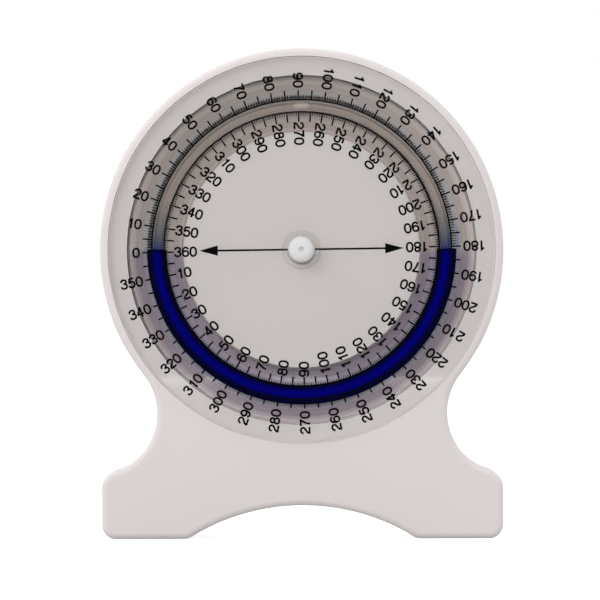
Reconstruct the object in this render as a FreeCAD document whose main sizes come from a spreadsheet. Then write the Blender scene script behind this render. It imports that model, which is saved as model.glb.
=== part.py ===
"""Bubble inclinometer: a free-standing angle gauge with a turning dial and a liquid level.

Frame: millimetres, +Z up, +X to the right of a person reading the dial, the dial faces -Y.
The origin is in the plane of the feet, below the middle of the object.

Every body is drawn about the dial axis, which runs along Y at the height axis_height, and
its Placement lifts it to that height. Depths along Y are written as expressions, from the
button in front to the cover at the back, so that a change of one thickness moves all that
is stacked on it.
"""

import FreeCAD, Part
import math
import os

import Sketcher

# ---------------------------------------------------------------------------------------
# Driving dimensions, in millimetres unless the name says degrees or count
# ---------------------------------------------------------------------------------------

SIZES = [
    # stand outline
    ("axis_height", 73.0, "dial axis above the feet"),
    ("body_radius", 51.0, "round part of the stand"),
    ("neck_radius", 15.5, "concave arc on each side of the neck"),
    ("neck_height", 31.8, "centre of the neck arcs above the feet"),
    ("foot_span", 101.4, "width over the feet"),
    ("arch_span", 57.8, "width of the arch between the feet"),
    ("arch_rise", 8.4, "height of the arch"),
    ("foot_corner", 3.5, "rounding of the lower outer corner of a foot"),
    ("shoulder_corner", 4.2, "rounding of the upper outer corner of a foot"),
    ("toe_corner", 3.0, "rounding where the arch meets a foot"),
    ("front_round", 1.6, "rounding of the front edge of the stand"),
    ("back_round", 0.5, "rounding of the back edge of the stand"),
    # stand shell
    ("housing_depth", 20.0, "front face to back face of the stand"),
    ("wall", 2.4, "side walls of the stand"),
    ("face_thickness", 2.2, "front wall of the legs, dial seat and trough floor"),
    ("lip", 1.2, "wall left around the rear cover"),
    ("cavity_corner", 1.0, "corners inside the shell"),
    ("cover_corner", 2.0, "corners of the rear cover and of its rebate"),
    ("cover_thickness", 2.4, "rear cover"),
    ("cover_gap", 0.15, "gap all round the rear cover"),
    ("cover_chamfer", 0.3, "outer edge of the rear cover"),
    ("rib_thickness", 1.6, "stiffening ribs inside the stand"),
    ("rib_depth", 6.8, "depth of the ribs behind the dial seat"),
    ("rib_count", 4, "ribs around the pivot boss"),
    ("leg_rib_place", 31.4, "leg ribs, from the middle"),
    ("pivot_boss_radius", 6.4, "boss around the pivot bush"),
    # dial seat
    ("dial_gap", 0.3, "gap around and behind the dial"),
    ("trough_inner", 29.8, "inner wall of the trough"),
    ("trough_outer", 44.2, "outer wall of the trough"),
    ("trough_gap", 0.5, "gap behind the channel ring"),
    # dial
    ("dial_rise", 1.0, "dial in front of the stand's face"),
    ("disc_radius", 48.7, "clear disc"),
    ("disc_thickness", 2.4, "clear disc at its rim"),
    ("disc_round", 0.4, "front edge of the disc"),
    ("ring_gap", 0.5, "gap between the ring and the trough's walls"),
    ("step_depth", 3.2, "ring on the back of the disc that holds the front half of the channel"),
    ("ring_depth", 3.4, "rear ring that holds the rear half of the channel"),
    ("channel_radius", 36.7, "middle of the liquid channel"),
    ("bore_radius", 2.45, "bore of the liquid channel"),
    ("liquid_gap", 0.15, "gap between the liquid and the bore"),
    ("plug_radius", 1.2, "filling plug"),
    ("plug_flange_radius", 2.0, "head of the filling plug"),
    ("plug_flange_thickness", 0.5, "head of the filling plug"),
    ("fixed_gap", 0.02, "gap between pieces that are pressed or bonded together"),
    # pivot
    ("hub_washer_radius", 4.9, "washer under the button"),
    ("hub_washer_thickness", 0.5, "washer under the button"),
    ("button_radius", 3.4, "domed head of the pivot pin"),
    ("button_height", 2.5, "domed head of the pivot pin"),
    ("button_round", 2.0, "rounding of the domed head"),
    ("dimple_radius", 0.65, "dimple in the middle of the head"),
    ("dimple_depth", 0.9, "dimple in the middle of the head"),
    ("pin_radius", 2.5, "shank of the pivot pin"),
    ("running_gap", 0.05, "radial clearance of the pin in its bush"),
    ("bush_radius", 4.0, "outside of the pivot bush"),
    ("bush_length", 12.0, "pivot bush"),
    ("thrust_radius", 4.6, "washer that the dial turns on"),
    ("thrust_thickness", 0.6, "washer that the dial turns on"),
    ("rear_washer_radius", 5.6, "flat washer behind the pivot boss"),
    ("rear_washer_thickness", 0.4, "flat washer behind the pivot boss"),
    ("washer_gap", 0.15, "radial clearance of the washers on the pin"),
    ("spring_radius", 5.2, "conical spring washer"),
    ("spring_thickness", 0.35, "sheet of the conical spring washer"),
    ("spring_height", 0.6, "conical spring washer as fitted"),
    ("clip_radius", 4.4, "retaining clip"),
    ("clip_thickness", 0.6, "retaining clip"),
    ("clip_mouth", 3.2, "open side of the retaining clip"),
    ("groove_radius", 2.0, "bottom of the groove for the retaining clip"),
    ("pin_tail", 0.8, "pin behind the retaining clip"),
    # cover screws
    ("screw_radius", 1.3, "thread of a cover screw"),
    ("screw_length", 9.0, "cover screw below its head"),
    ("screw_point", 1.2, "pointed end of a cover screw"),
    ("screw_head_radius", 2.4, "head of a cover screw"),
    ("screw_head_height", 1.3, "head of a cover screw"),
    ("screw_head_round", 0.5, "rounding of the head"),
    ("screw_sink", 0.2, "head below the outside of the cover"),
    ("screw_head_gap", 0.3, "clearance around a head"),
    ("screw_hole_gap", 0.3, "clearance of a shank in the cover"),
    ("recess_length", 2.6, "cross recess, end to end"),
    ("recess_width", 0.6, "cross recess, width of an arm"),
    ("recess_depth", 0.8, "cross recess"),
    ("screw_boss_radius", 3.0, "boss that takes a screw"),
    ("screw_ring", 20.0, "upper screws, from the dial axis"),
    ("foot_screw_place", 40.0, "foot screws, from the middle"),
    ("foot_screw_height", 11.0, "foot screws above the feet"),
]

# ---------------------------------------------------------------------------------------
# Depths along Y, front to back
# ---------------------------------------------------------------------------------------

BACK = "((Sizes.housing_depth + Sizes.dial_rise + Sizes.hub_washer_thickness + Sizes.button_height) / 2)"
STAND_FRONT = f"({BACK} - Sizes.housing_depth)"
DISC_FRONT = f"({STAND_FRONT} - Sizes.dial_rise)"
HUB_WASHER_FRONT = f"({DISC_FRONT} - Sizes.hub_washer_thickness)"
BUTTON_FRONT = f"({HUB_WASHER_FRONT} - Sizes.button_height)"
DISC_BACK = f"({DISC_FRONT} + Sizes.disc_thickness)"
SEAT = f"({DISC_BACK} + Sizes.dial_gap)"
THRUST_SEAT = f"({DISC_BACK} + Sizes.thrust_thickness)"
CHANNEL_LEVEL = f"({DISC_BACK} + Sizes.step_depth)"
RING_BACK = f"({CHANNEL_LEVEL} + Sizes.ring_depth)"
TROUGH_FLOOR = f"({RING_BACK} + Sizes.trough_gap)"
TROUGH_BACK = f"({TROUGH_FLOOR} + Sizes.face_thickness)"
SEAT_BACK = f"({SEAT} + Sizes.face_thickness)"
LEG_FACE_BACK = f"({STAND_FRONT} + Sizes.face_thickness)"
RIB_BACK = f"({SEAT_BACK} + Sizes.rib_depth)"
BOSS_BACK = f"({THRUST_SEAT} + Sizes.bush_length)"
REAR_WASHER_BACK = f"({BOSS_BACK} + Sizes.rear_washer_thickness)"
SPRING_BACK = f"({REAR_WASHER_BACK} + Sizes.spring_height)"
CLIP_BACK = f"({SPRING_BACK} + Sizes.clip_thickness)"
PIN_BACK = f"({CLIP_BACK} + Sizes.pin_tail)"
COVER_INSIDE = f"({BACK} - Sizes.cover_thickness)"
HEAD_BACK = f"({BACK} - Sizes.screw_sink)"
HEAD_SEAT = f"({HEAD_BACK} - Sizes.screw_head_height)"
SCREW_TIP = f"({HEAD_SEAT} - Sizes.screw_length)"

# ---------------------------------------------------------------------------------------
# Radii and places that several pieces share
# ---------------------------------------------------------------------------------------

WELL_RADIUS = "(Sizes.disc_radius + Sizes.dial_gap)"
RING_INNER = "(Sizes.trough_inner + Sizes.ring_gap)"
RING_OUTER = "(Sizes.trough_outer - Sizes.ring_gap)"
BUSH_SEAT_RADIUS = "(Sizes.bush_radius + Sizes.fixed_gap)"
BUSH_BORE = "(Sizes.pin_radius + Sizes.running_gap)"
WASHER_BORE = "(Sizes.pin_radius + Sizes.washer_gap)"
THRUST_RECESS = "(Sizes.thrust_radius + Sizes.dial_gap)"
PIN_SEAT_RADIUS = "(Sizes.pin_radius + Sizes.fixed_gap)"
PLUG_SEAT_RADIUS = "(Sizes.plug_radius + Sizes.fixed_gap)"
LIQUID_RADIUS = "(Sizes.bore_radius - Sizes.liquid_gap)"
PLUG_TIP = f"({CHANNEL_LEVEL} + Sizes.bore_radius)"
SCREW_DIAGONAL = "(Sizes.screw_ring * sqrt(0.5))"
FOOT_SCREW_Z = "(Sizes.foot_screw_height - Sizes.axis_height)"
UPPER_SCREWS = [
    (f"{side_x} * {SCREW_DIAGONAL}", f"{side_z} * {SCREW_DIAGONAL}")
    for side_x in (1, -1)
    for side_z in (1, -1)
]
FOOT_SCREWS = [(f"{side} * Sizes.foot_screw_place", FOOT_SCREW_Z) for side in (1, -1)]

# The arch between the feet is the arc through its two ends and its crown.
ARCH_RADIUS = "(((Sizes.arch_span / 2) ^ 2 + Sizes.arch_rise ^ 2) / (2 * Sizes.arch_rise))"
ARCH_CENTRE = f"(Sizes.arch_rise - Sizes.axis_height - {ARCH_RADIUS})"

# Numbers that a sketch gives to the points of a line or an arc, to its axes and its origin
START, END, CENTRE = 1, 2, 3
ACROSS_AXIS, UP_AXIS = -1, -2
ORIGIN = (-1, 1)

AXIS_DIRECTION = FreeCAD.Vector(0, 0, 1)
# Distance within which two places count as the same
MATCH = 1e-4
# How far a cut starts outside the material
OVERCUT = 1.0

document = FreeCAD.newDocument("Inclinometer")


def build_sheet():
    """Write the driving dimensions into a spreadsheet, one alias for each."""
    sheet = document.addObject("Spreadsheet::Sheet", "Sizes")
    for row, (alias, size, meaning) in enumerate(SIZES, 1):
        sheet.set(f"A{row}", meaning)
        sheet.set(f"B{row}", str(size))
        sheet.setAlias(f"B{row}", alias)
    document.recompute()
    return sheet


SHEET = build_sheet()


def value(expression):
    """The number that an expression of the sheet's sizes gives now."""
    return float(SHEET.evalExpression(expression.replace("Sizes.", "")))


# ---------------------------------------------------------------------------------------
# Sketches
# ---------------------------------------------------------------------------------------


def new_body(label):
    """A body whose own origin is on the dial axis."""
    body = document.addObject("PartDesign::Body", label)
    body.Label = label
    body.setExpression("Placement.Base.z", "Sizes.axis_height")
    return body


def sketch_on(body, name, role, level="0"):
    """A sketch on one of the body's own planes. On XZ_Plane it is moved to the depth level."""
    sketch = body.newObject("Sketcher::SketchObject", name)
    plane = next(feature for feature in body.Origin.OriginFeatures if feature.Role == role)
    sketch.AttachmentSupport = [(plane, "")]
    sketch.MapMode = "FlatFace"
    sketch.setExpression("AttachmentOffset.Base.z", f"-({level})")
    return sketch


def fix(sketch, kind, elements, expression):
    """Add a constraint whose size is an expression."""
    index = sketch.addConstraint(Sketcher.Constraint(kind, *elements, value(expression)))
    sketch.setExpression(f"Constraints[{index}]", expression)


def place_point(sketch, element, across, up):
    """Fix a point of the sketch at a place given by two expressions."""
    if across == "0" and up == "0":
        sketch.addConstraint(Sketcher.Constraint("Coincident", *element, *ORIGIN))
        return
    for expression, kind, axis in ((across, "DistanceX", UP_AXIS), (up, "DistanceY", ACROSS_AXIS)):
        if expression == "0":
            sketch.addConstraint(Sketcher.Constraint("PointOnObject", *element, axis))
        else:
            fix(sketch, kind, (*ORIGIN, *element), expression)


def add_circle(sketch, radius, across="0", up="0"):
    """A circle with its centre at a place."""
    centre = FreeCAD.Vector(value(across), value(up), 0)
    circle = sketch.addGeometry(Part.Circle(centre, AXIS_DIRECTION, value(radius)), False)
    place_point(sketch, (circle, CENTRE), across, up)
    fix(sketch, "Radius", (circle,), radius)


def add_polygon(sketch, corners):
    """A closed outline of straight lines through corners given by pairs of expressions."""
    points = [FreeCAD.Vector(value(across), value(up), 0) for across, up in corners]
    lines = [
        sketch.addGeometry(Part.LineSegment(point, points[(place + 1) % len(points)]), False)
        for place, point in enumerate(points)
    ]
    for place, line in enumerate(lines):
        sketch.addConstraint(Sketcher.Constraint("Coincident", lines[place - 1], END, line, START))
    for line, (across, up) in zip(lines, corners):
        place_point(sketch, (line, START), across, up)


def add_arc(sketch, centre, radius, start_angle, end_angle):
    """An arc drawn anticlockwise, with angles in radians."""
    circle = Part.Circle(centre, AXIS_DIRECTION, radius)
    return sketch.addGeometry(Part.ArcOfCircle(circle, start_angle, end_angle), False)


def add_stand_outline(sketch, inset):
    """The stand's outline, moved inwards by the expression inset, with sharp corners.

    The round body runs into a concave neck arc on each side. Below each arc is the straight
    side of a foot, and a shallow arch joins the two feet.
    """
    body_radius = value(f"Sizes.body_radius - {inset}")
    neck_radius = value(f"Sizes.neck_radius + {inset}")
    neck_up = value("Sizes.neck_height - Sizes.axis_height")
    neck_across = math.sqrt(value("Sizes.body_radius + Sizes.neck_radius") ** 2 - neck_up**2)
    side = value(f"Sizes.foot_span / 2 - {inset}")
    bottom = value(f"{inset} - Sizes.axis_height")
    arch_radius = value(f"{ARCH_RADIUS} + {inset}")
    arch_up = value(f"{ARCH_CENTRE}")
    side_top = neck_up - math.sqrt(neck_radius**2 - (neck_across - side) ** 2)
    toe = math.sqrt(arch_radius**2 - (bottom - arch_up) ** 2)

    join_angle = math.atan2(neck_up, neck_across)
    side_angle = math.atan2(side_top - neck_up, neck_across - side)
    toe_angle = math.atan2(bottom - arch_up, toe)
    left_neck_centre = FreeCAD.Vector(-neck_across, neck_up, 0)
    right_neck_centre = FreeCAD.Vector(neck_across, neck_up, 0)
    arch_centre = FreeCAD.Vector(0, arch_up, 0)

    def line(first_across, first_up, second_across, second_up):
        first = FreeCAD.Vector(first_across, first_up, 0)
        second = FreeCAD.Vector(second_across, second_up, 0)
        return sketch.addGeometry(Part.LineSegment(first, second), False)

    body = add_arc(sketch, FreeCAD.Vector(0, 0, 0), body_radius, join_angle, math.pi - join_angle)
    left_neck = add_arc(sketch, left_neck_centre, neck_radius, side_angle, -join_angle)
    left_side = line(-side, side_top, -side, bottom)
    left_sole = line(-side, bottom, -toe, bottom)
    arch = add_arc(sketch, arch_centre, arch_radius, toe_angle, math.pi - toe_angle)
    right_sole = line(toe, bottom, side, bottom)
    right_side = line(side, bottom, side, side_top)
    right_neck = add_arc(
        sketch, right_neck_centre, neck_radius, math.pi + join_angle, math.pi - side_angle
    )

    joined = [
        (left_neck, START, left_side, START),
        (left_side, END, left_sole, START),
        (left_sole, END, arch, END),
        (arch, START, right_sole, START),
        (right_sole, END, right_side, START),
        (right_side, END, right_neck, END),
    ]
    for pair in joined:
        sketch.addConstraint(Sketcher.Constraint("Coincident", *pair))
    sketch.addConstraint(Sketcher.Constraint("Tangent", body, END, left_neck, END))
    sketch.addConstraint(Sketcher.Constraint("Tangent", body, START, right_neck, START))
    sketch.addConstraint(Sketcher.Constraint("Coincident", body, CENTRE, *ORIGIN))
    fix(sketch, "Radius", (body,), f"Sizes.body_radius - {inset}")
    for neck in (left_neck, right_neck):
        fix(sketch, "Radius", (neck,), f"Sizes.neck_radius + {inset}")
        fix(sketch, "DistanceY", (*ORIGIN, neck, CENTRE), "Sizes.neck_height - Sizes.axis_height")
    for upright in (left_side, right_side):
        sketch.addConstraint(Sketcher.Constraint("Vertical", upright))
    for sole in (left_sole, right_sole):
        sketch.addConstraint(Sketcher.Constraint("Horizontal", sole))
        fix(sketch, "DistanceY", (*ORIGIN, sole, START), f"{inset} - Sizes.axis_height")
    fix(sketch, "DistanceX", (*ORIGIN, left_side, START), f"{inset} - Sizes.foot_span / 2")
    fix(sketch, "DistanceX", (*ORIGIN, right_side, START), f"Sizes.foot_span / 2 - {inset}")
    sketch.addConstraint(Sketcher.Constraint("PointOnObject", arch, CENTRE, UP_AXIS))
    fix(sketch, "DistanceY", (*ORIGIN, arch, CENTRE), ARCH_CENTRE)
    fix(sketch, "Radius", (arch,), f"{ARCH_RADIUS} + {inset}")
    return {
        "foot": [(side, bottom), (-side, bottom)],
        "shoulder": [(side, side_top), (-side, side_top)],
        "toe": [(toe, bottom), (-toe, bottom)],
    }


# ---------------------------------------------------------------------------------------
# Features
# ---------------------------------------------------------------------------------------


def pad(body, name, sketch, length):
    """Raise the sketch towards the front, -Y."""
    feature = body.newObject("PartDesign::Pad", name)
    feature.Profile = sketch
    feature.setExpression("Length", length)
    document.recompute()
    return feature


def pocket(body, name, sketch, length, to_front=True):
    """Cut the sketch towards the front, or towards the back."""
    before = body.Shape.Volume
    feature = body.newObject("PartDesign::Pocket", name)
    feature.Profile = sketch
    feature.setExpression("Length", length)
    feature.Reversed = to_front
    document.recompute()
    if body.Shape.Volume > before - MATCH:
        raise RuntimeError(f"{body.Label}: {name} cuts nothing")
    return feature


def turn(body, name, sketch, cut=False):
    """Turn the sketch about the dial axis, to add or to cut."""
    before = body.Shape.Volume if cut else 0.0
    feature = body.newObject("PartDesign::Groove" if cut else "PartDesign::Revolution", name)
    feature.Profile = sketch
    feature.ReferenceAxis = (sketch, ["H_Axis"])
    feature.Angle = 360
    document.recompute()
    if cut and body.Shape.Volume > before - MATCH:
        raise RuntimeError(f"{body.Label}: {name} cuts nothing")
    return feature


def turned(body, name, corners, cut=False):
    """Turn a profile about the dial axis. Its corners are pairs of depth and radius."""
    sketch = sketch_on(body, f"{name}Profile", "YZ_Plane")
    add_polygon(sketch, corners)
    return turn(body, name, sketch, cut)


def edges_at(shape, places):
    """Names of the straight edges along Y that stand at places given as (x, z)."""
    names = []
    for number, edge in enumerate(shape.Edges, 1):
        ends = [vertex.Point for vertex in edge.Vertexes]
        if len(ends) != 2 or (ends[1] - ends[0]).cross(FreeCAD.Vector(0, 1, 0)).Length > MATCH:
            continue
        if any(math.hypot(ends[0].x - x, ends[0].z - z) < MATCH for x, z in places):
            names.append(f"Edge{number}")
    return names


def rim_edges(shape, depth):
    """Names of the edges around the outside of the flat face at a depth along Y."""
    flat = [
        face
        for face in shape.Faces
        if isinstance(face.Surface, Part.Plane)
        and abs(face.BoundBox.YMin - depth) < MATCH
        and abs(face.BoundBox.YMax - depth) < MATCH
    ]
    outside = max(flat, key=lambda face: face.BoundBox.DiagonalLength).OuterWire.Edges
    return [
        f"Edge{number}"
        for number, edge in enumerate(shape.Edges, 1)
        if any(edge.isSame(other) for other in outside)
    ]


def round_edges(body, name, base, edges, radius, kind="PartDesign::Fillet", size="Radius"):
    """Round or chamfer edges of the feature base."""
    feature = body.newObject(kind, name)
    feature.Base = (base, edges)
    feature.setExpression(size, radius)
    document.recompute()
    return feature


def round_corners(body, name, base, places, radius):
    """Round the corners of an outline, found by their places."""
    return round_edges(body, name, base, edges_at(base.Shape, places), radius)


# ---------------------------------------------------------------------------------------
# The stand
# ---------------------------------------------------------------------------------------


def hollow_from_back(body, name, inset, depth, corner):
    """Cut the stand's outline, moved inwards, from the back face to a depth."""
    sketch = sketch_on(body, f"{name}Outline", "XZ_Plane", BACK)
    corners = add_stand_outline(sketch, inset)
    cut = pocket(body, name, sketch, f"{BACK} - {depth}")
    places = corners["foot"] + corners["shoulder"] + corners["toe"]
    return round_corners(body, f"{name}Corners", cut, places, corner)


def build_front_housing():
    """The moulded shell: round body, neck and feet in one, open at the back.

    Its front carries the shallow well for the dial and the deep trough for the channel
    ring. Inside are the pivot boss, the screw bosses and the ribs.
    """
    body = new_body("front_housing")
    outline = sketch_on(body, "StandOutline", "XZ_Plane", BACK)
    corners = add_stand_outline(outline, "0")
    block = pad(body, "StandBlock", outline, "Sizes.housing_depth")
    feet = round_corners(body, "FootCorners", block, corners["foot"], "Sizes.foot_corner")
    shoulders = round_corners(
        body, "ShoulderCorners", feet, corners["shoulder"], "Sizes.shoulder_corner"
    )
    toes = round_corners(body, "ToeCorners", shoulders, corners["toe"], "Sizes.toe_corner")
    front_edges = rim_edges(toes.Shape, value(STAND_FRONT))
    round_edges(body, "FrontRound", toes, front_edges, "Sizes.front_round")

    hollow_from_back(body, "Cavity", "Sizes.wall", LEG_FACE_BACK, "Sizes.cavity_corner")
    rebate = hollow_from_back(body, "Rebate", "Sizes.lip", COVER_INSIDE, "Sizes.cover_corner")
    back_edges = rim_edges(rebate.Shape, value(BACK))
    round_edges(body, "BackRound", rebate, back_edges, "Sizes.back_round")

    inner_back = "(Sizes.trough_inner - Sizes.face_thickness)"
    outer_back = "(Sizes.trough_outer + Sizes.face_thickness)"
    turned(
        body,
        "DialPan",
        [
            (STAND_FRONT, "0"),
            (STAND_FRONT, "Sizes.body_radius - Sizes.wall"),
            (SEAT_BACK, "Sizes.body_radius - Sizes.wall"),
            (SEAT_BACK, outer_back),
            (TROUGH_BACK, outer_back),
            (TROUGH_BACK, inner_back),
            (SEAT_BACK, inner_back),
            (SEAT_BACK, "Sizes.pivot_boss_radius"),
            (BOSS_BACK, "Sizes.pivot_boss_radius"),
            (BOSS_BACK, "0"),
        ],
    )
    add_ribs(body)
    add_screw_bosses(body)
    turned(
        body,
        "DialWell",
        [
            (f"{STAND_FRONT} - {OVERCUT}", "0"),
            (f"{STAND_FRONT} - {OVERCUT}", WELL_RADIUS),
            (SEAT, WELL_RADIUS),
            (SEAT, "Sizes.trough_outer"),
            (TROUGH_FLOOR, "Sizes.trough_outer"),
            (TROUGH_FLOOR, "Sizes.trough_inner"),
            (SEAT, "Sizes.trough_inner"),
            (SEAT, THRUST_RECESS),
            (THRUST_SEAT, THRUST_RECESS),
            (THRUST_SEAT, "0"),
        ],
        cut=True,
    )
    bore = sketch_on(body, "BushSeatCircle", "XZ_Plane", BOSS_BACK)
    add_circle(bore, BUSH_SEAT_RADIUS)
    pocket(body, "BushSeat", bore, "Sizes.bush_length")
    cut_pilot_holes(body)
    return body


def add_ribs(body):
    """Ribs from the pivot boss to the trough, and one down each leg."""
    half = "Sizes.rib_thickness / 2"
    spoke = sketch_on(body, "SpokeOutline", "XZ_Plane", RIB_BACK)
    reach = "Sizes.trough_inner - Sizes.face_thickness / 2"
    add_polygon(
        spoke,
        [
            (f"-{half}", "Sizes.bush_radius + Sizes.face_thickness / 2"),
            (half, "Sizes.bush_radius + Sizes.face_thickness / 2"),
            (half, reach),
            (f"-{half}", reach),
        ],
    )
    first = pad(body, "Spoke", spoke, "Sizes.rib_depth + Sizes.face_thickness / 2")
    pattern = body.newObject("PartDesign::PolarPattern", "Spokes")
    pattern.Originals = [first]
    pattern.Axis = (spoke, ["N_Axis"])
    pattern.Angle = 360
    pattern.setExpression("Occurrences", "Sizes.rib_count")
    body.Tip = pattern
    document.recompute()

    legs = sketch_on(body, "LegRibOutlines", "XZ_Plane", TROUGH_BACK)
    top = "-Sizes.trough_outer"
    bottom = "Sizes.wall / 2 - Sizes.axis_height"
    for side in ("-1", "1"):
        middle = f"{side} * Sizes.leg_rib_place"
        add_polygon(
            legs,
            [
                (f"{middle} - {half}", top),
                (f"{middle} - {half}", bottom),
                (f"{middle} + {half}", bottom),
                (f"{middle} + {half}", top),
            ],
        )
    pad(body, "LegRibs", legs, f"{TROUGH_BACK} - {STAND_FRONT} - Sizes.face_thickness / 2")


def add_screw_bosses(body):
    """Six posts that reach back to the rear cover."""
    for name, places, front in (
        ("UpperBosses", UPPER_SCREWS, SEAT),
        ("FootBosses", FOOT_SCREWS, STAND_FRONT),
    ):
        circles = sketch_on(body, f"{name}Circles", "XZ_Plane", COVER_INSIDE)
        for across, up in places:
            add_circle(circles, "Sizes.screw_boss_radius", across, up)
        pad(body, name, circles, f"{COVER_INSIDE} - {front} - Sizes.face_thickness / 2")


def cut_pilot_holes(body):
    """Holes in the posts, as wide as the screws are after they have cut their thread."""
    circles = sketch_on(body, "PilotCircles", "XZ_Plane", COVER_INSIDE)
    for across, up in UPPER_SCREWS + FOOT_SCREWS:
        add_circle(circles, "Sizes.screw_radius + Sizes.fixed_gap", across, up)
    pocket(body, "PilotHoles", circles, f"{COVER_INSIDE} - {SCREW_TIP} + Sizes.fixed_gap")


def build_rear_cover():
    """The flat plate that closes the back and lies against what is measured."""
    body = new_body("rear_cover")
    outline = sketch_on(body, "CoverOutline", "XZ_Plane", BACK)
    corners = add_stand_outline(outline, "(Sizes.lip + Sizes.cover_gap)")
    plate = pad(body, "CoverPlate", outline, "Sizes.cover_thickness")
    places = corners["foot"] + corners["shoulder"] + corners["toe"]
    rounded = round_corners(body, "CoverCorners", plate, places, "Sizes.cover_corner")
    round_edges(
        body,
        "CoverChamfer",
        rounded,
        rim_edges(rounded.Shape, value(BACK)),
        "Sizes.cover_chamfer",
        "PartDesign::Chamfer",
        "Size",
    )
    holes = sketch_on(body, "ScrewHoleCircles", "XZ_Plane", BACK)
    sinks = sketch_on(body, "ScrewSinkCircles", "XZ_Plane", BACK)
    for across, up in UPPER_SCREWS + FOOT_SCREWS:
        add_circle(holes, "Sizes.screw_radius + Sizes.screw_hole_gap", across, up)
        add_circle(sinks, "Sizes.screw_head_radius + Sizes.screw_head_gap", across, up)
    pocket(body, "ScrewHoles", holes, "Sizes.cover_thickness")
    pocket(body, "ScrewSinks", sinks, "Sizes.screw_head_height + Sizes.screw_sink")
    return body


def build_cover_screws():
    """Six pan-head screws with a cross recess: one drawn, and a copy at each post."""
    screw = document.addObject("PartDesign::Body", "cover_screw")
    turned(
        screw,
        "ScrewBlank",
        [
            (HEAD_BACK, "0"),
            (HEAD_BACK, "Sizes.screw_head_radius"),
            (HEAD_SEAT, "Sizes.screw_head_radius"),
            (HEAD_SEAT, "Sizes.screw_radius"),
            (f"{SCREW_TIP} + Sizes.screw_point", "Sizes.screw_radius"),
            (SCREW_TIP, "0"),
        ],
    )
    blank = screw.Tip
    round_edges(
        screw, "HeadRound", blank, rim_edges(blank.Shape, value(HEAD_BACK)), "Sizes.screw_head_round"
    )
    arm = "Sizes.recess_width / 2"
    reach = "Sizes.recess_length / 2"
    cross = sketch_on(screw, "RecessOutline", "XZ_Plane", HEAD_BACK)
    quarter = [(reach, arm), (arm, arm), (arm, reach)]
    signs = [(1, 1, 1), (-1, 1, -1), (-1, -1, 1), (1, -1, -1)]
    corners = []
    for across_sign, up_sign, order in signs:
        for across, up in quarter[::order]:
            corners.append((f"{across_sign} * {across}", f"{up_sign} * {up}"))
    add_polygon(cross, corners)
    pocket(screw, "Recess", cross, "Sizes.recess_depth")

    copies = []
    for number, (across, up) in enumerate(UPPER_SCREWS + FOOT_SCREWS, 1):
        copy = document.addObject("App::Link", f"cover_screw_{number}")
        copy.LinkedObject = screw
        copy.setExpression("Placement.Base.x", across)
        copy.setExpression("Placement.Base.z", f"{up} + Sizes.axis_height")
        copies.append(copy)
    group = document.addObject("Part::Compound", "cover_screws")
    group.Label = "cover_screws"
    group.Links = copies
    document.recompute()
    return group


def build_ring(label, front, back, inner, outer):
    """A plain ring about the dial axis between two depths."""
    body = new_body(label)
    turned(body, "Ring", [(front, inner), (front, outer), (back, outer), (back, inner)])
    return body


# ---------------------------------------------------------------------------------------
# The dial
# ---------------------------------------------------------------------------------------


def cut_channel(body):
    """The round liquid channel, half of which lies in this body."""
    sketch = sketch_on(body, "ChannelCircle", "YZ_Plane")
    add_circle(sketch, "Sizes.bore_radius", CHANNEL_LEVEL, "Sizes.channel_radius")
    turn(body, "Channel", sketch, cut=True)


def build_dial_disc():
    """The clear disc that bears the scales, with a thick ring behind for half the channel."""
    body = new_body("dial_disc")
    disc = turned(
        body,
        "Disc",
        [
            (DISC_FRONT, PIN_SEAT_RADIUS),
            (DISC_FRONT, "Sizes.disc_radius"),
            (DISC_BACK, "Sizes.disc_radius"),
            (DISC_BACK, RING_OUTER),
            (CHANNEL_LEVEL, RING_OUTER),
            (CHANNEL_LEVEL, RING_INNER),
            (DISC_BACK, RING_INNER),
            (DISC_BACK, PIN_SEAT_RADIUS),
        ],
    )
    round_edges(body, "DiscRound", disc, rim_edges(disc.Shape, value(DISC_FRONT)), "Sizes.disc_round")
    cut_channel(body)
    return body


def build_channel_ring():
    """The clear ring bonded behind the disc, which closes the channel."""
    body = build_ring("channel_ring", CHANNEL_LEVEL, RING_BACK, RING_INNER, RING_OUTER)
    cut_channel(body)
    hole = sketch_on(body, "FillHoleCircle", "XZ_Plane", RING_BACK)
    add_circle(hole, PLUG_SEAT_RADIUS, "0", "Sizes.channel_radius")
    pocket(body, "FillHole", hole, f"{RING_BACK} - {CHANNEL_LEVEL} - Sizes.bore_radius / 2")
    head = sketch_on(body, "PlugHeadCircle", "XZ_Plane", RING_BACK)
    add_circle(head, "Sizes.plug_flange_radius + Sizes.fixed_gap", "0", "Sizes.channel_radius")
    pocket(body, "PlugHeadSeat", head, "Sizes.plug_flange_thickness")
    return body


def build_fill_plug():
    """The plug that closes the filling hole, flush with the back of the ring."""
    body = new_body("fill_plug")
    head = sketch_on(body, "HeadCircle", "XZ_Plane", RING_BACK)
    add_circle(head, "Sizes.plug_flange_radius", "0", "Sizes.channel_radius")
    pad(body, "Head", head, "Sizes.plug_flange_thickness")
    stem = sketch_on(body, "StemCircle", "XZ_Plane", RING_BACK)
    add_circle(stem, "Sizes.plug_radius", "0", "Sizes.channel_radius")
    pad(body, "Stem", stem, f"{RING_BACK} - {PLUG_TIP}")
    return body


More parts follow.
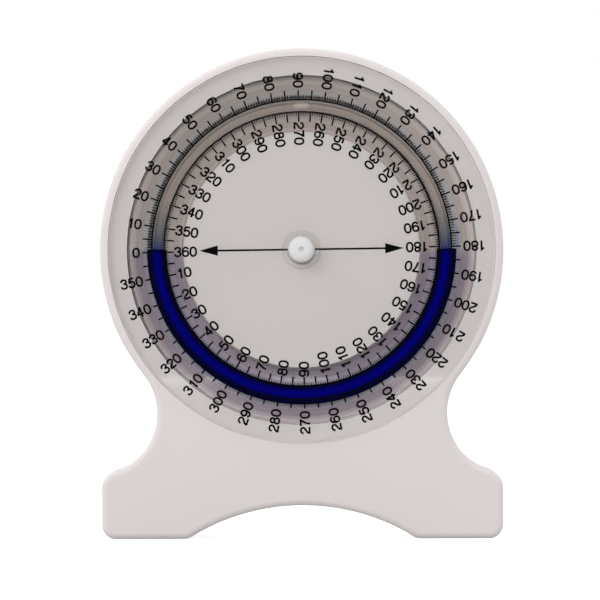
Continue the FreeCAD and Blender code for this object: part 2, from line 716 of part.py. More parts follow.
def build_pivot_pin():
    """The pin that the dial turns on: domed head with a dimple, shank, clip groove."""
    body = new_body("pivot_pin")
    blank = turned(
        body,
        "PinBlank",
        [
            (BUTTON_FRONT, "0"),
            (BUTTON_FRONT, "Sizes.button_radius"),
            (HUB_WASHER_FRONT, "Sizes.button_radius"),
            (HUB_WASHER_FRONT, "Sizes.pin_radius"),
            (SPRING_BACK, "Sizes.pin_radius"),
            (SPRING_BACK, "Sizes.groove_radius"),
            (CLIP_BACK, "Sizes.groove_radius"),
            (CLIP_BACK, "Sizes.pin_radius"),
            (PIN_BACK, "Sizes.pin_radius"),
            (PIN_BACK, "0"),
        ],
    )
    edges = rim_edges(blank.Shape, value(BUTTON_FRONT))
    round_edges(body, "Dome", blank, edges, "Sizes.button_round")
    turned(
        body,
        "Dimple",
        [
            (f"{BUTTON_FRONT} - {OVERCUT}", "0"),
            (f"{BUTTON_FRONT} - {OVERCUT}", "Sizes.dimple_radius"),
            (f"{BUTTON_FRONT} + Sizes.dimple_depth", "Sizes.dimple_radius"),
            (f"{BUTTON_FRONT} + Sizes.dimple_depth + Sizes.dimple_radius / 2", "0"),
        ],
        cut=True,
    )
    return body


def build_spring_washer():
    """The conical washer whose push keeps the dial where it is set."""
    body = new_body("spring_washer")
    rise = "Sizes.spring_height - Sizes.spring_thickness"
    turned(
        body,
        "Cone",
        [
            (REAR_WASHER_BACK, "Sizes.spring_radius"),
            (f"{REAR_WASHER_BACK} + Sizes.spring_thickness", "Sizes.spring_radius"),
            (SPRING_BACK, WASHER_BORE),
            (f"{REAR_WASHER_BACK} + {rise}", WASHER_BORE),
        ],
    )
    return body


def build_retaining_clip():
    """The open steel clip in the groove of the pin."""
    groove = "(Sizes.groove_radius + Sizes.fixed_gap)"
    body = build_ring("retaining_clip", SPRING_BACK, CLIP_BACK, groove, "Sizes.clip_radius")
    mouth = sketch_on(body, "MouthOutline", "XZ_Plane", CLIP_BACK)
    half = "Sizes.clip_mouth / 2"
    add_polygon(
        mouth,
        [
            (f"-{half}", "0"),
            (f"-{half}", "-Sizes.clip_radius"),
            (half, "-Sizes.clip_radius"),
            (half, "0"),
        ],
    )
    pocket(body, "Mouth", mouth, "Sizes.clip_thickness")
    return body


# ---------------------------------------------------------------------------------------
# The liquid
# ---------------------------------------------------------------------------------------


def build_indicator_fluid():
    """The liquid that fills the lower half of the channel and stays level."""
    body = new_body("indicator_fluid")
    sketch = sketch_on(body, "LiquidCircle", "XY_Plane")
    add_circle(sketch, LIQUID_RADIUS, "Sizes.channel_radius", CHANNEL_LEVEL)
    half_ring = body.newObject("PartDesign::Revolution", "HalfRing")
    half_ring.Profile = sketch
    half_ring.ReferenceAxis = (sketch, ["V_Axis"])
    half_ring.Angle = 180
    document.recompute()
    if body.Shape.BoundBox.ZMax > value("Sizes.axis_height") + MATCH:
        half_ring.Reversed = True
        document.recompute()
    return body


def build_all():
    """Build every piece, in the order in which the object is put together."""
    return [
        build_front_housing(),
        build_ring("pivot_bush", THRUST_SEAT, BOSS_BACK, BUSH_BORE, "Sizes.bush_radius"),
        build_ring("thrust_washer", DISC_BACK, THRUST_SEAT, WASHER_BORE, "Sizes.thrust_radius"),
        build_dial_disc(),
        build_channel_ring(),
        build_fill_plug(),
        build_indicator_fluid(),
        build_ring(
            "hub_washer", HUB_WASHER_FRONT, DISC_FRONT, PIN_SEAT_RADIUS, "Sizes.hub_washer_radius"
        ),
        build_pivot_pin(),
        build_ring(
            "rear_washer", BOSS_BACK, REAR_WASHER_BACK, WASHER_BORE, "Sizes.rear_washer_radius"
        ),
        build_spring_washer(),
        build_retaining_clip(),
        build_rear_cover(),
        build_cover_screws(),
    ]


def check(pieces):
    """Stop if anything in the document failed, or a piece isn't a sound solid."""
    document.recompute()
    for item in document.Objects:
        if {"Invalid", "Error"} & set(item.State):
            raise RuntimeError(f"{item.Label} failed: {item.State}")
    for piece in pieces:
        shape = piece.Shape
        if shape.isNull() or not shape.isValid() or not shape.Solids:
            raise RuntimeError(f"{piece.Label} has no valid solid")


def main():
    """Build, check and write one STEP file for each piece."""
    pieces = build_all()
    check(pieces)
    os.makedirs("parts", exist_ok=True)
    for piece in pieces:
        piece.Shape.exportStep(f"parts/{piece.Label}.step")
        box = piece.Shape.BoundBox
        print(
            f"{piece.Label:16} {len(piece.Shape.Solids)} solid(s) {piece.Shape.Volume:10.2f} mm3"
            f"  x {box.XMin:7.2f} {box.XMax:7.2f}  y {box.YMin:7.2f} {box.YMax:7.2f}"
            f"  z {box.ZMin:7.2f} {box.ZMax:7.2f}"
        )


main()
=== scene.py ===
"""Looks of a clinical bubble inclinometer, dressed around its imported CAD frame.

The stand is white moulded ABS. The dial is clear acrylic with two black printed scales,
and its ring-shaped channel is half full of dark blue liquid. Lengths in this file are in
millimetres until they go into a mesh. The object faces -Y, and Z is up.
"""

import logging
import math
from dataclasses import dataclass, field
from enum import Enum, IntEnum

import bmesh
import bpy
import numpy as np
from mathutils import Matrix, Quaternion, Vector


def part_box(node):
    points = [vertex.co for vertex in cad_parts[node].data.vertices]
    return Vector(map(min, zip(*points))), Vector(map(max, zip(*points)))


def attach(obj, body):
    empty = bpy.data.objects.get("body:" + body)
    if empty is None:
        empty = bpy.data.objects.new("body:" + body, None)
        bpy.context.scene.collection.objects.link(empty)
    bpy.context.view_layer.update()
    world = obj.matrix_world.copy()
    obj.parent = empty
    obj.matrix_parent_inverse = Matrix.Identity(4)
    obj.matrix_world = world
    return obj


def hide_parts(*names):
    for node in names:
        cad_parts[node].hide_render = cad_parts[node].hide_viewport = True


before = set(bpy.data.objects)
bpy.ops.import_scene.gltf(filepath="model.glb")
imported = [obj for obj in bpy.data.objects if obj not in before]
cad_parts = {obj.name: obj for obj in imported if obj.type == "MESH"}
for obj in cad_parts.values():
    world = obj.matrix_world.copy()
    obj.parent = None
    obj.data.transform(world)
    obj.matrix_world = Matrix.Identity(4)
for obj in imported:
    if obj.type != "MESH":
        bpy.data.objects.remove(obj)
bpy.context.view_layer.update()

# One millimetre in metres
MM = 0.001
# Flat stretch kept next to a rounding, in mm, so that its shading stays flat
FLAT_END = 0.03
# Points of a mesh that are nearer to each other than this, in metres, are one point
SAME_POINT = 1e-8
LOG = logging.getLogger("inclinometer")

Material, Node = bpy.types.Material, bpy.types.Node
Tree, Socket = bpy.types.NodeTree, bpy.types.NodeSocket
Colour = tuple[float, float, float, float]
# What a node is given: a value, another node's output, or a node for its first output
Given = float | str | bool | tuple[float, ...] | Socket | Node
# A distance or height in mm, or a share, and the hex colour there
Tone = tuple[float, str]
WHITE: Colour = (1.0, 1.0, 1.0, 1.0)


# ----- Colours and shader nodes -----


def linear(code: str) -> Colour:
    """Turn an sRGB hex colour into the linear values that shaders take.

    Args:
        code: the colour as six hex digits after a #.

    Returns:
        Linear red, green and blue, and an alpha of one.
    """
    parts = np.array([int(code[place : place + 2], 16) for place in (1, 3, 5)]) / 255.0
    toed = np.where(parts <= 0.04045, parts / 12.92, ((parts + 0.055) / 1.055) ** 2.4)
    return (*toed.tolist(), 1.0)


def add_node(tree: Tree, kind: str, given: dict[str | int, Given] | None = None) -> Node:
    """Add one shader node with its settings and links.

    Args:
        tree: the node tree.
        kind: the node's type without its first word, such as TexNoise.
        given: its settings and links, by the name of one of the node's own properties or
            by the name or number of an input.

    Returns:
        The new node.
    """
    node = tree.nodes.new("ShaderNode" + kind)
    for name, thing in (given or {}).items():
        if isinstance(thing, Node | Socket):
            start = thing.outputs[0] if isinstance(thing, Node) else thing
            tree.links.new(start, node.inputs[name])
        elif isinstance(name, str) and hasattr(node, name):
            setattr(node, name, thing)
        else:
            node.inputs[name].default_value = thing
    return node


def new_material(name: str) -> tuple[Material, Tree, Socket]:
    """Start a material.

    Args:
        name: the material's name.

    Returns:
        The material, its node tree, and the shaded point in the object's own coordinates,
        in metres.
    """
    material = bpy.data.materials.new(name)
    material.use_nodes = True
    tree = material.node_tree
    tree.nodes.clear()
    return material, tree, add_node(tree, "TexCoord").outputs["Object"]


def set_ramp(node: Node, stops: list[tuple[float, Colour]]) -> None:
    """Give a colour ramp its stops.

    Args:
        node: the ramp's node.
        stops: pairs of place and colour, in rising order.
    """
    ramp = node.color_ramp
    while len(ramp.elements) < len(stops):
        ramp.elements.new(0.5)
    for element, (place, colour) in zip(ramp.elements, stops):
        element.position = place
        element.color = colour


def tone_ramp(tree: Tree, length: Socket, tones: tuple[Tone, ...]) -> Node:
    """A colour that depends on a length, such as the distance from the dial axis.

    Args:
        tree: the node tree.
        length: the length in metres.
        tones: the colours from the smallest length to the largest.

    Returns:
        The colour's node.
    """
    low, high = tones[0][0], tones[-1][0]
    ends = {"From Min": low * MM, "From Max": high * MM}
    share = add_node(tree, "MapRange", ends | {"Value": length})
    ramp = add_node(tree, "ValToRGB", {"Fac": share})
    set_ramp(ramp, [((place - low) / (high - low), linear(code)) for place, code in tones])
    return ramp


def mottled(
    tree: Tree, pattern: dict[str | int, Given], tones: tuple[Tone, ...]
) -> tuple[Node, Node]:
    """A colour that wanders over a surface, as a noise does.

    Args:
        tree: the node tree.
        pattern: the noise's settings and links.
        tones: the colours from the noise's smallest share to its largest.

    Returns:
        The colour's node, and the noise's.
    """
    noise = add_node(tree, "TexNoise", pattern)
    ramp = add_node(tree, "ValToRGB", {"Fac": noise})
    set_ramp(ramp, [(share, linear(code)) for share, code in tones])
    return ramp, noise


def axis_distance(tree: Tree, point: Socket, axis_height: float) -> Socket:
    """The shaded point's distance from the dial axis.

    Args:
        tree: the node tree.
        point: the shaded point, in metres.
        axis_height: height of the dial axis, in mm.

    Returns:
        The distance's socket, in metres.
    """
    place = {"Location": (0, 0, -axis_height * MM), "Scale": (1, 0, 1)}
    centred = add_node(tree, "Mapping", place | {"Vector": point})
    length = add_node(tree, "VectorMath", {"operation": "LENGTH", 0: centred})
    return length.outputs["Value"]


def background_rays(tree: Tree, mirrored: Node | float = 1.0) -> Node:
    """One for a ray that sees the background, and zero for one that only gathers light.

    The background is seen straight from the camera, through clear plastic and in metal. A
    ray counts as seen through plastic only while it has done nothing else but pass through.
    It counts as seen in metal only where it was reflected and has left no matt surface,
    because Cycles calls a ray that passes through clear plastic glossy too.

    Args:
        tree: the node tree.
        mirrored: the share that shows in metal and gloss.

    Returns:
        The share's node.
    """
    path = add_node(tree, "LightPath").outputs
    depths = {0: path["Ray Depth"], 1: path["Transmission Depth"]}
    other = add_node(tree, "Math", {"operation": "SUBTRACT"} | depths)
    straight = add_node(tree, "Math", {"operation": "LESS_THAN", 0: other, 1: 0.5})
    seen = add_node(
        tree,
        "Math",
        {
            "operation": "MULTIPLY_ADD",
            0: straight,
            1: path["Is Transmission Ray"],
            2: path["Is Camera Ray"],
        },
    )
    polished = {"operation": "LESS_THAN", 0: path["Diffuse Depth"], 1: 0.5}
    rays = {0: path["Is Glossy Ray"], 1: path["Is Reflection Ray"]}
    mirror = add_node(tree, "Math", {"operation": "MULTIPLY"} | rays)
    gloss = {"operation": "MULTIPLY", 0: add_node(tree, "Math", polished), 1: mirror}
    both = {"operation": "MULTIPLY_ADD", 0: add_node(tree, "Math", gloss), 1: mirrored, 2: seen}
    return add_node(tree, "Math", both)


# ----- Finishes -----


@dataclass(frozen=True)
class MouldedPlastic:
    """Injection-moulded plastic: one colour, faint clouding and the fine grain of the mould.

    The clouding is the slow change of tone over a large moulding. The grain breaks up the
    gloss, so that highlights are soft at their edges.
    """

    name: str
    colour: str
    shade: str
    roughness: float = 0.38
    gloss_change: float = 0.05
    cloud_size: float = 28.0
    grain_size: float = 0.22
    grain_height: float = 0.006
    grain_strength: float = 0.5
    ior: float = 1.53

    def build(self) -> Material:
        """Make the material.

        Returns:
            The material.
        """
        material, tree, point = new_material(self.name)
        clouds = {"Scale": 1 / (self.cloud_size * MM), "Detail": 3.0, "Roughness": 0.5}
        tones = ((0.3, self.shade), (0.7, self.colour))
        tone, _ = mottled(tree, clouds | {"Vector": point}, tones)
        grains = {"Scale": 1 / (self.grain_size * MM), "Detail": 2.0, "Roughness": 0.6}
        grain = add_node(tree, "TexNoise", grains | {"Vector": point})
        low, high = self.roughness - self.gloss_change, self.roughness + self.gloss_change
        gloss = add_node(tree, "MapRange", {"To Min": low, "To Max": high, "Value": grain})
        height = {"Strength": self.grain_strength, "Distance": self.grain_height * MM}
        surface = {
            "Base Color": tone,
            "Roughness": gloss,
            "IOR": self.ior,
            "Normal": add_node(tree, "Bump", height | {"Height": grain}),
        }
        shader = add_node(tree, "BsdfPrincipled", surface)
        add_node(tree, "OutputMaterial", {"Surface": shader})
        return material


@dataclass(frozen=True)
class ClearAcrylic:
    """Polished moulded acrylic: clear, bends what is behind it, glossy in front.

    Light from lamps passes straight through, so what lies behind is lit as it is in the
    open. The tones darken that light on its way in and out, by distance from the dial axis:
    they are painted shade of the deep trough behind the ring, of the channel's walls and of
    the rims of the disc and the washer. Ripples over them, a ring every millimetre or so,
    are painted reflections of the channel ring's moulded wall.
    """

    name: str
    axis_height: float
    tones: tuple[Tone, ...]
    # Strength of the ripple of painted reflections
    ripple: float = 0.004
    ripple_pitch: float = 1.03
    ripple_peak: float = 40.25
    clearness: float = 1.0
    roughness: float = 0.012
    ior: float = 1.49

    def build(self) -> Material:
        """Make the material.

        Returns:
            The material.
        """
        material, tree, point = new_material(self.name)
        distance = axis_distance(tree, point, self.axis_height)
        # A ripple of painted reflections of the moulded wall, a ring every ripple_pitch from
        # ripple_peak
        ring = {
            "clamp": False,
            "From Min": self.ripple_peak * MM,
            "From Max": (self.ripple_peak + self.ripple_pitch) * MM,
            "To Max": 2 * math.pi,
            "Value": distance,
        }
        turn = add_node(tree, "MapRange", ring)
        wave = add_node(tree, "Math", {"operation": "COSINE", 0: turn})
        around_one = {"operation": "MULTIPLY_ADD", 0: wave, 1: self.ripple, 2: 1.0}
        strength = add_node(tree, "Math", around_one)
        # The tones: painted shade by distance from the dial axis
        plain = tone_ramp(tree, distance, self.tones)
        tone = add_node(tree, "VectorMath", {"operation": "SCALE", 0: plain, "Scale": strength})
        surface = {
            "Base Color": tone,
            "Roughness": self.roughness,
            "IOR": self.ior,
            "Transmission Weight": self.clearness,
        }
        glass = add_node(tree, "BsdfPrincipled", surface)
        passing = add_node(tree, "BsdfTransparent", {"Color": tone})
        shadow = add_node(tree, "LightPath").outputs["Is Shadow Ray"]
        mixed = add_node(tree, "MixShader", {0: shadow, 1: glass, 2: passing})
        add_node(tree, "OutputMaterial", {"Surface": mixed})
        return material


@dataclass(frozen=True)
class DyedLiquid:
    """Dark blue dyed liquid in a round channel.

    Its colour is painted by distance from the dial axis and by height. In the middle of the
    channel it is a clear deep blue, painted light where light gathers. Towards both walls,
    and just under the meniscus, the way through the dye is long, and it is a painted shade
    near black.
    Its IOR is low, because it shines little where it wets the acrylic.
    """

    name: str
    axis_height: float
    tones: tuple[Tone, ...]
    meniscus: str
    meniscus_depth: float = 1.3
    meniscus_share: float = 0.9
    roughness: float = 0.1
    ior: float = 1.02

    def build(self) -> Material:
        """Make the material.

        Returns:
            The material.
        """
        material, tree, point = new_material(self.name)
        # Painted light in the middle of the channel and painted shade at both walls
        colour = tone_ramp(tree, axis_distance(tree, point, self.axis_height), self.tones)
        # Painted shade just under the meniscus, by height
        depth = {
            "From Min": (self.axis_height - self.meniscus_depth) * MM,
            "From Max": self.axis_height * MM,
            "To Max": self.meniscus_share,
            "Value": add_node(tree, "SeparateXYZ", {0: point}).outputs["Z"],
        }
        near = add_node(tree, "MapRange", depth)
        tone = add_node(tree, "MixRGB", {0: near, 1: colour, 2: linear(self.meniscus)})
        surface = {"Base Color": tone, "Roughness": self.roughness, "IOR": self.ior}
        shader = add_node(tree, "BsdfPrincipled", surface)
        add_node(tree, "OutputMaterial", {"Surface": shader})
        return material


@dataclass(frozen=True)
class DyeFilm:
    """The film of dyed liquid that wets the channel's wall above the level.

    It is a stain without thickness of its own: deep next to the level and gone higher up.
    The tones are colours by height above the dial axis.
    """

    name: str
    axis_height: float
    tones: tuple[Tone, ...]

    def build(self) -> Material:
        """Make the material.

        Returns:
            The material.
        """
        material, tree, point = new_material(self.name)
        height = add_node(tree, "SeparateXYZ", {0: point}).outputs["Z"]
        above = {"operation": "SUBTRACT", 0: height, 1: self.axis_height * MM}
        tone = tone_ramp(tree, add_node(tree, "Math", above), self.tones)
        shader = add_node(tree, "BsdfTransparent", {"Color": tone})
        add_node(tree, "OutputMaterial", {"Surface": shader})
        return material


@dataclass(frozen=True)
class DyeCast:
    """The colour that light takes on through the dye, on what lies behind and beside it.

    It is painted light and shade, on a tinted sheet. Below the level it is a faint violet
    over the whole depth of the trough, painted shade and painted violet light. Above the
    level it is a painted light blue beside the channel, which fades upwards. The tones are
    colours by distance from the dial axis.
    """

    name: str
    axis_height: float
    below: tuple[Tone, ...]
    above: tuple[Tone, ...]
    fade: float
    fade_start: float = 0.3
    level_blur: float = 1.6

    def build(self) -> Material:
        """Make the material.

        Between the two heights of a step, in mm above the dial axis, the colour goes over
        smoothly from the one below to the one above.

        Returns:
            The material.
        """
        material, tree, point = new_material(self.name)
        distance = axis_distance(tree, point, self.axis_height)
        height = add_node(tree, "SeparateXYZ", {0: point}).outputs["Z"]
        # Painted light blue beside the channel above the level, painted violet shade below it
        beside = tone_ramp(tree, distance, self.above)
        under = tone_ramp(tree, distance, self.below)
        steps = (
            (self.fade_start * self.fade, self.fade, beside),
            (-self.level_blur, self.level_blur / 2, under),
        )
        tone: Given = WHITE
        for start, end, low in steps:
            rise = {
                "interpolation_type": "SMOOTHSTEP",
                "From Min": (self.axis_height + start) * MM,
                "From Max": (self.axis_height + end) * MM,
                "Value": height,
            }
            share = add_node(tree, "MapRange", rise)
            tone = add_node(tree, "MixRGB", {0: share, 1: low, 2: tone})
        shader = add_node(tree, "BsdfTransparent", {"Color": tone})
        add_node(tree, "OutputMaterial", {"Surface": shader})
        return material


@dataclass(frozen=True)
class PadPrintedInk:
    """Black pad-printing ink: nearly matt, with the slight mottle of a printed film.

    Its IOR is low, because such ink has hardly any gloss.
    """

    name: str
    colour: str
    mottle: str
    roughness: float = 0.55
    mottle_size: float = 0.6
    ior: float = 1.2

    def build(self) -> Material:
        """Make the material.

        Returns:
            The material.
        """
        material, tree, point = new_material(self.name)
        film = {"Scale": 1 / (self.mottle_size * MM), "Detail": 2.0, "Vector": point}
        tone, _ = mottled(tree, film, ((0.35, self.colour), (0.75, self.mottle)))
        surface = {"Base Color": tone, "Roughness": self.roughness, "IOR": self.ior}
        shader = add_node(tree, "BsdfPrincipled", surface)
        add_node(tree, "OutputMaterial", {"Surface": shader})
        return material


@dataclass(frozen=True)
class WorkedMetal:
    """Bare or plated metal: fine worn spots of another tone, which break up its highlights."""

    name: str
    colour: str
    worn: str
    roughness: float
    smoother: float = 0.08
    rougher: float = 0.1
    spot_size: float = 0.25

    def build(self) -> Material:
        """Make the material.

        Returns:
            The material.
        """
        material, tree, point = new_material(self.name)
        spots = {"Scale": 1 / (self.spot_size * MM), "Detail": 3.0, "Roughness": 0.65}
        tones = ((0.3, self.worn), (0.65, self.colour))
        tone, noise = mottled(tree, spots | {"Vector": point}, tones)
        low, high = self.roughness - self.smoother, self.roughness + self.rougher
        gloss = add_node(tree, "MapRange", {"To Min": low, "To Max": high, "Value": noise})
        surface = {"Base Color": tone, "Roughness": gloss, "Metallic": 1.0}
        shader = add_node(tree, "BsdfPrincipled", surface)
        add_node(tree, "OutputMaterial", {"Surface": shader})
        return material


class Finish(Enum):
    """The finishes of the pieces that keep their CAD shape."""

    WHITE_ABS = MouldedPlastic("white_abs_moulded", "#DAD3D2", "#D7D1CF")
    WHITE_ACETAL = MouldedPlastic("white_acetal_polished", "#DBDADA", "#D8D7D7", roughness=0.25)
    NATURAL_NYLON = MouldedPlastic("natural_nylon", "#D9D3CF", "#D5CFCA", roughness=0.5)
    BRASS = WorkedMetal("turned_brass", "#D9B56A", "#B98F45", roughness=0.3)
    ZINC_STEEL = WorkedMetal("zinc_plated_steel", "#C9CBCE", "#A9ABAF", roughness=0.32)
    SPRING_STEEL = WorkedMetal("oiled_spring_steel", "#8B8C8F", "#66676A", roughness=0.38)


# ----- Surfaces -----


@dataclass
class Surface:
    """Points and four-cornered faces, as arrays, in mm, and each face's material number."""

    points: np.ndarray
    faces: np.ndarray
    finishes: np.ndarray | int = 0

    def volume(self) -> float:
        """The volume inside, positive where the faces point outwards.

        It is a sixth of the sum, over both triangles of each face, of one corner's dot
        product with the cross product of the other two.

        Returns:
            The volume in cubic mm.
        """
        corner = self.points[self.faces]
        first = np.einsum("ij,ij->i", corner[:, 0], np.cross(corner[:, 1], corner[:, 2]))
        second = np.einsum("ij,ij->i", corner[:, 0], np.cross(corner[:, 2], corner[:, 3]))
        return float((first + second).sum() / 6.0)

    def facing(self, outwards: bool = True) -> "Surface":
        """Turn the faces where they need it.

        Args:
            outwards: whether they are to point out of the surface, or else into it.

        Returns:
            The same surface, with its faces turned.
        """
        if (self.volume() > 0) == outwards:
            return self
        return Surface(self.points, self.faces[:, ::-1], self.finishes)


def joined(surfaces: list[Surface]) -> Surface:
    """Put several surfaces into one.

    Args:
        surfaces: the surfaces.

    Returns:
        One surface, in which each face counts the points of all surfaces before its own.
    """
    starts = np.cumsum([0] + [len(surface.points) for surface in surfaces[:-1]])
    return Surface(
        np.concatenate([surface.points for surface in surfaces]),
        np.concatenate([surface.faces + start for surface, start in zip(surfaces, starts)]),
        np.concatenate([np.broadcast_to(one.finishes, len(one.faces)) for one in surfaces]),
    )


def grid_faces(rows: int, columns: int, wrap_rows: bool, wrap_columns: bool) -> np.ndarray:
    """Faces between the points of a grid that is stored row by row.

    Args:
        rows: number of rows.
        columns: number of points in a row.
        wrap_rows: join the last row to the first.
        wrap_columns: join the last column to the first.

    Returns:
        An array of faces with four corners each.
    """
    row = np.arange(rows if wrap_rows else rows - 1)[:, None]
    column = np.arange(columns if wrap_columns else columns - 1)[None, :]
    next_row, next_column = (row + 1) % rows, (column + 1) % columns
    corners = [
        row * columns + column,
        row * columns + next_column,
        next_row * columns + next_column,
        next_row * columns + column,
    ]
    return np.stack(corners, axis=-1).reshape(-1, 4)


def lathe(profile: np.ndarray, axis_height: float, steps: int) -> Surface:
    """Turn a closed profile about the dial axis.

    A point at radius r and depth y goes to (r sin a, y, h + r cos a) for each angle a.

    Args:
        profile: rows of radius and depth.
        axis_height: the height h of the axis.
        steps: number of angles in a full turn.

    Returns:
        The surface, facing outwards.
    """
    angle = np.linspace(0.0, 2 * np.pi, steps, endpoint=False)[:, None]
    radius, depth = profile[:, 0][None, :], profile[:, 1][None, :]
    points = np.stack(
        [radius * np.sin(angle), depth + 0 * angle, axis_height + radius * np.cos(angle)], axis=-1
    )
    faces = grid_faces(steps, len(profile), True, True)
    return Surface(points.reshape(-1, 3), faces).facing()


def rounded(corners: list[tuple[float, float, float]], steps: int = 6) -> np.ndarray:
    """A closed outline of straight lines with its corners rounded.

    Each corner is replaced by an arc that touches both of its lines: the arc's middle lies
    on the corner's bisector, at the radius over the sine of half the angle. A point just
    before and just after each arc keeps the shading of the straight parts flat.

    Args:
        corners: rows of first coordinate, second coordinate and rounding radius.
        steps: number of points on each arc.

    Returns:
        Rows of two coordinates.
    """
    outline = []
    for place, (across, up, radius) in enumerate(corners):
        corner = np.array([across, up])
        if radius <= 0:
            outline.append(corner[None, :])
            continue
        before = np.array(corners[place - 1][:2]) - corner
        after = np.array(corners[(place + 1) % len(corners)][:2]) - corner
        before, after = before / np.linalg.norm(before), after / np.linalg.norm(after)
        half = 0.5 * math.acos(float(np.clip(before @ after, -1, 1)))
        bisector = (before + after) / np.linalg.norm(before + after)
        middle = corner + bisector * radius / math.sin(half)
        first = corner + before * radius / math.tan(half)
        last = corner + after * radius / math.tan(half)
        start = math.atan2(*(first - middle)[::-1])
        sweep = (math.atan2(*(last - middle)[::-1]) - start + math.pi) % (2 * math.pi) - math.pi
        angle = start + sweep * np.linspace(0, 1, steps)
        arc = middle + radius * np.stack([np.cos(angle), np.sin(angle)], axis=-1)
        outline += [first[None] + FLAT_END * before, arc, last[None] + FLAT_END * after]
    return np.concatenate(outline)


def new_piece(
    name: str,
    surface: Surface,
    materials: list[Material],
    body: str,
    sharp_deg: float = 32.0,
) -> bpy.types.Object:
    """Make a mesh object of a surface, finish it and let it ride on a body.

    Args:
        name: the piece's name.
        surface: its shape in mm.
        materials: its materials, in the order of the surface's material numbers.
        body: the CAD body that carries it.
        sharp_deg: edges bent more than this are drawn sharp.

    Returns:
        The object.
    """
    mesh = bpy.data.meshes.new(name)
    mesh.from_pydata((surface.points * MM).tolist(), [], surface.faces.tolist())
    for material in materials:
        mesh.materials.append(material)
    numbers = np.broadcast_to(surface.finishes, len(surface.faces)).astype(np.int32)
    mesh.polygons.foreach_set("material_index", np.ascontiguousarray(numbers))
    merged = bmesh.new()
    merged.from_mesh(mesh)
    bmesh.ops.remove_doubles(merged, verts=merged.verts, dist=SAME_POINT)
    merged.to_mesh(mesh)
    merged.free()
    mesh.polygons.foreach_set("use_smooth", np.ones(len(mesh.polygons), dtype=bool))
    mesh.set_sharp_from_angle(angle=math.radians(sharp_deg))
    piece = bpy.data.objects.new(name, mesh)
    bpy.context.scene.collection.objects.link(piece)
    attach(piece, body)
    return piece


# ----- Places that the sub-assemblies share -----


@dataclass(frozen=True)
class Layout:
    """Places read from the CAD frame, in mm."""

    axis_height: float
    disc_radius: float
    disc_front: float
    channel_level: float
    ring_outer: float
    ring_back: float
    channel_radius: float

    @classmethod
    def read(cls) -> "Layout":
        """Work the places out from the boxes of the CAD nodes.

        Returns:
            The places.
        """
        (disc_low, disc_high), (ring_low, ring_high), (fluid_low, fluid_high) = (
            [np.array(corner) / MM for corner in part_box(name)]
            for name in ("dial_disc", "channel_ring", "indicator_fluid")
        )
        liquid_radius = (fluid_high[1] - fluid_low[1]) / 2
        return cls(
            axis_height=(disc_low[2] + disc_high[2]) / 2,
            disc_radius=(disc_high[0] - disc_low[0]) / 2,
            disc_front=disc_low[1],
            channel_level=ring_low[1],
            ring_outer=(ring_high[0] - ring_low[0]) / 2,
            ring_back=ring_high[1],
            channel_radius=(fluid_high[0] - fluid_low[0]) / 2 - liquid_radius,
        )


# ----- The stand and the pivot: CAD shapes, dressed -----


@dataclass
class CadPieces:
    """Pieces whose CAD shape is also what the eye sees."""

    finishes: dict[str, Finish] = field(
        default_factory=lambda: {
            "front_housing": Finish.WHITE_ABS,
            "rear_cover": Finish.WHITE_ABS,
            "cover_screws": Finish.ZINC_STEEL,
            "pivot_bush": Finish.BRASS,
            "thrust_washer": Finish.NATURAL_NYLON,
            "rear_washer": Finish.ZINC_STEEL,
            "spring_washer": Finish.SPRING_STEEL,
            "retaining_clip": Finish.SPRING_STEEL,
            "fill_plug": Finish.NATURAL_NYLON,
            "pivot_pin": Finish.WHITE_ACETAL,
        }
    )

    def build(self) -> None:
        """Give each piece its finish."""
        made = {finish: finish.value.build() for finish in set(self.finishes.values())}
        for name, finish in self.finishes.items():
            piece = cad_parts[name]
            piece.data.materials.clear()
            piece.data.materials.append(made[finish])
            LOG.info("dressed %s in %s", name, finish.value.name)


# ----- The dial -----


class BlockFace(IntEnum):
    """Where on the clear block a face is, in the order of the block's finishes."""

    DISC, RING, CHANNEL, EDGE = range(4)


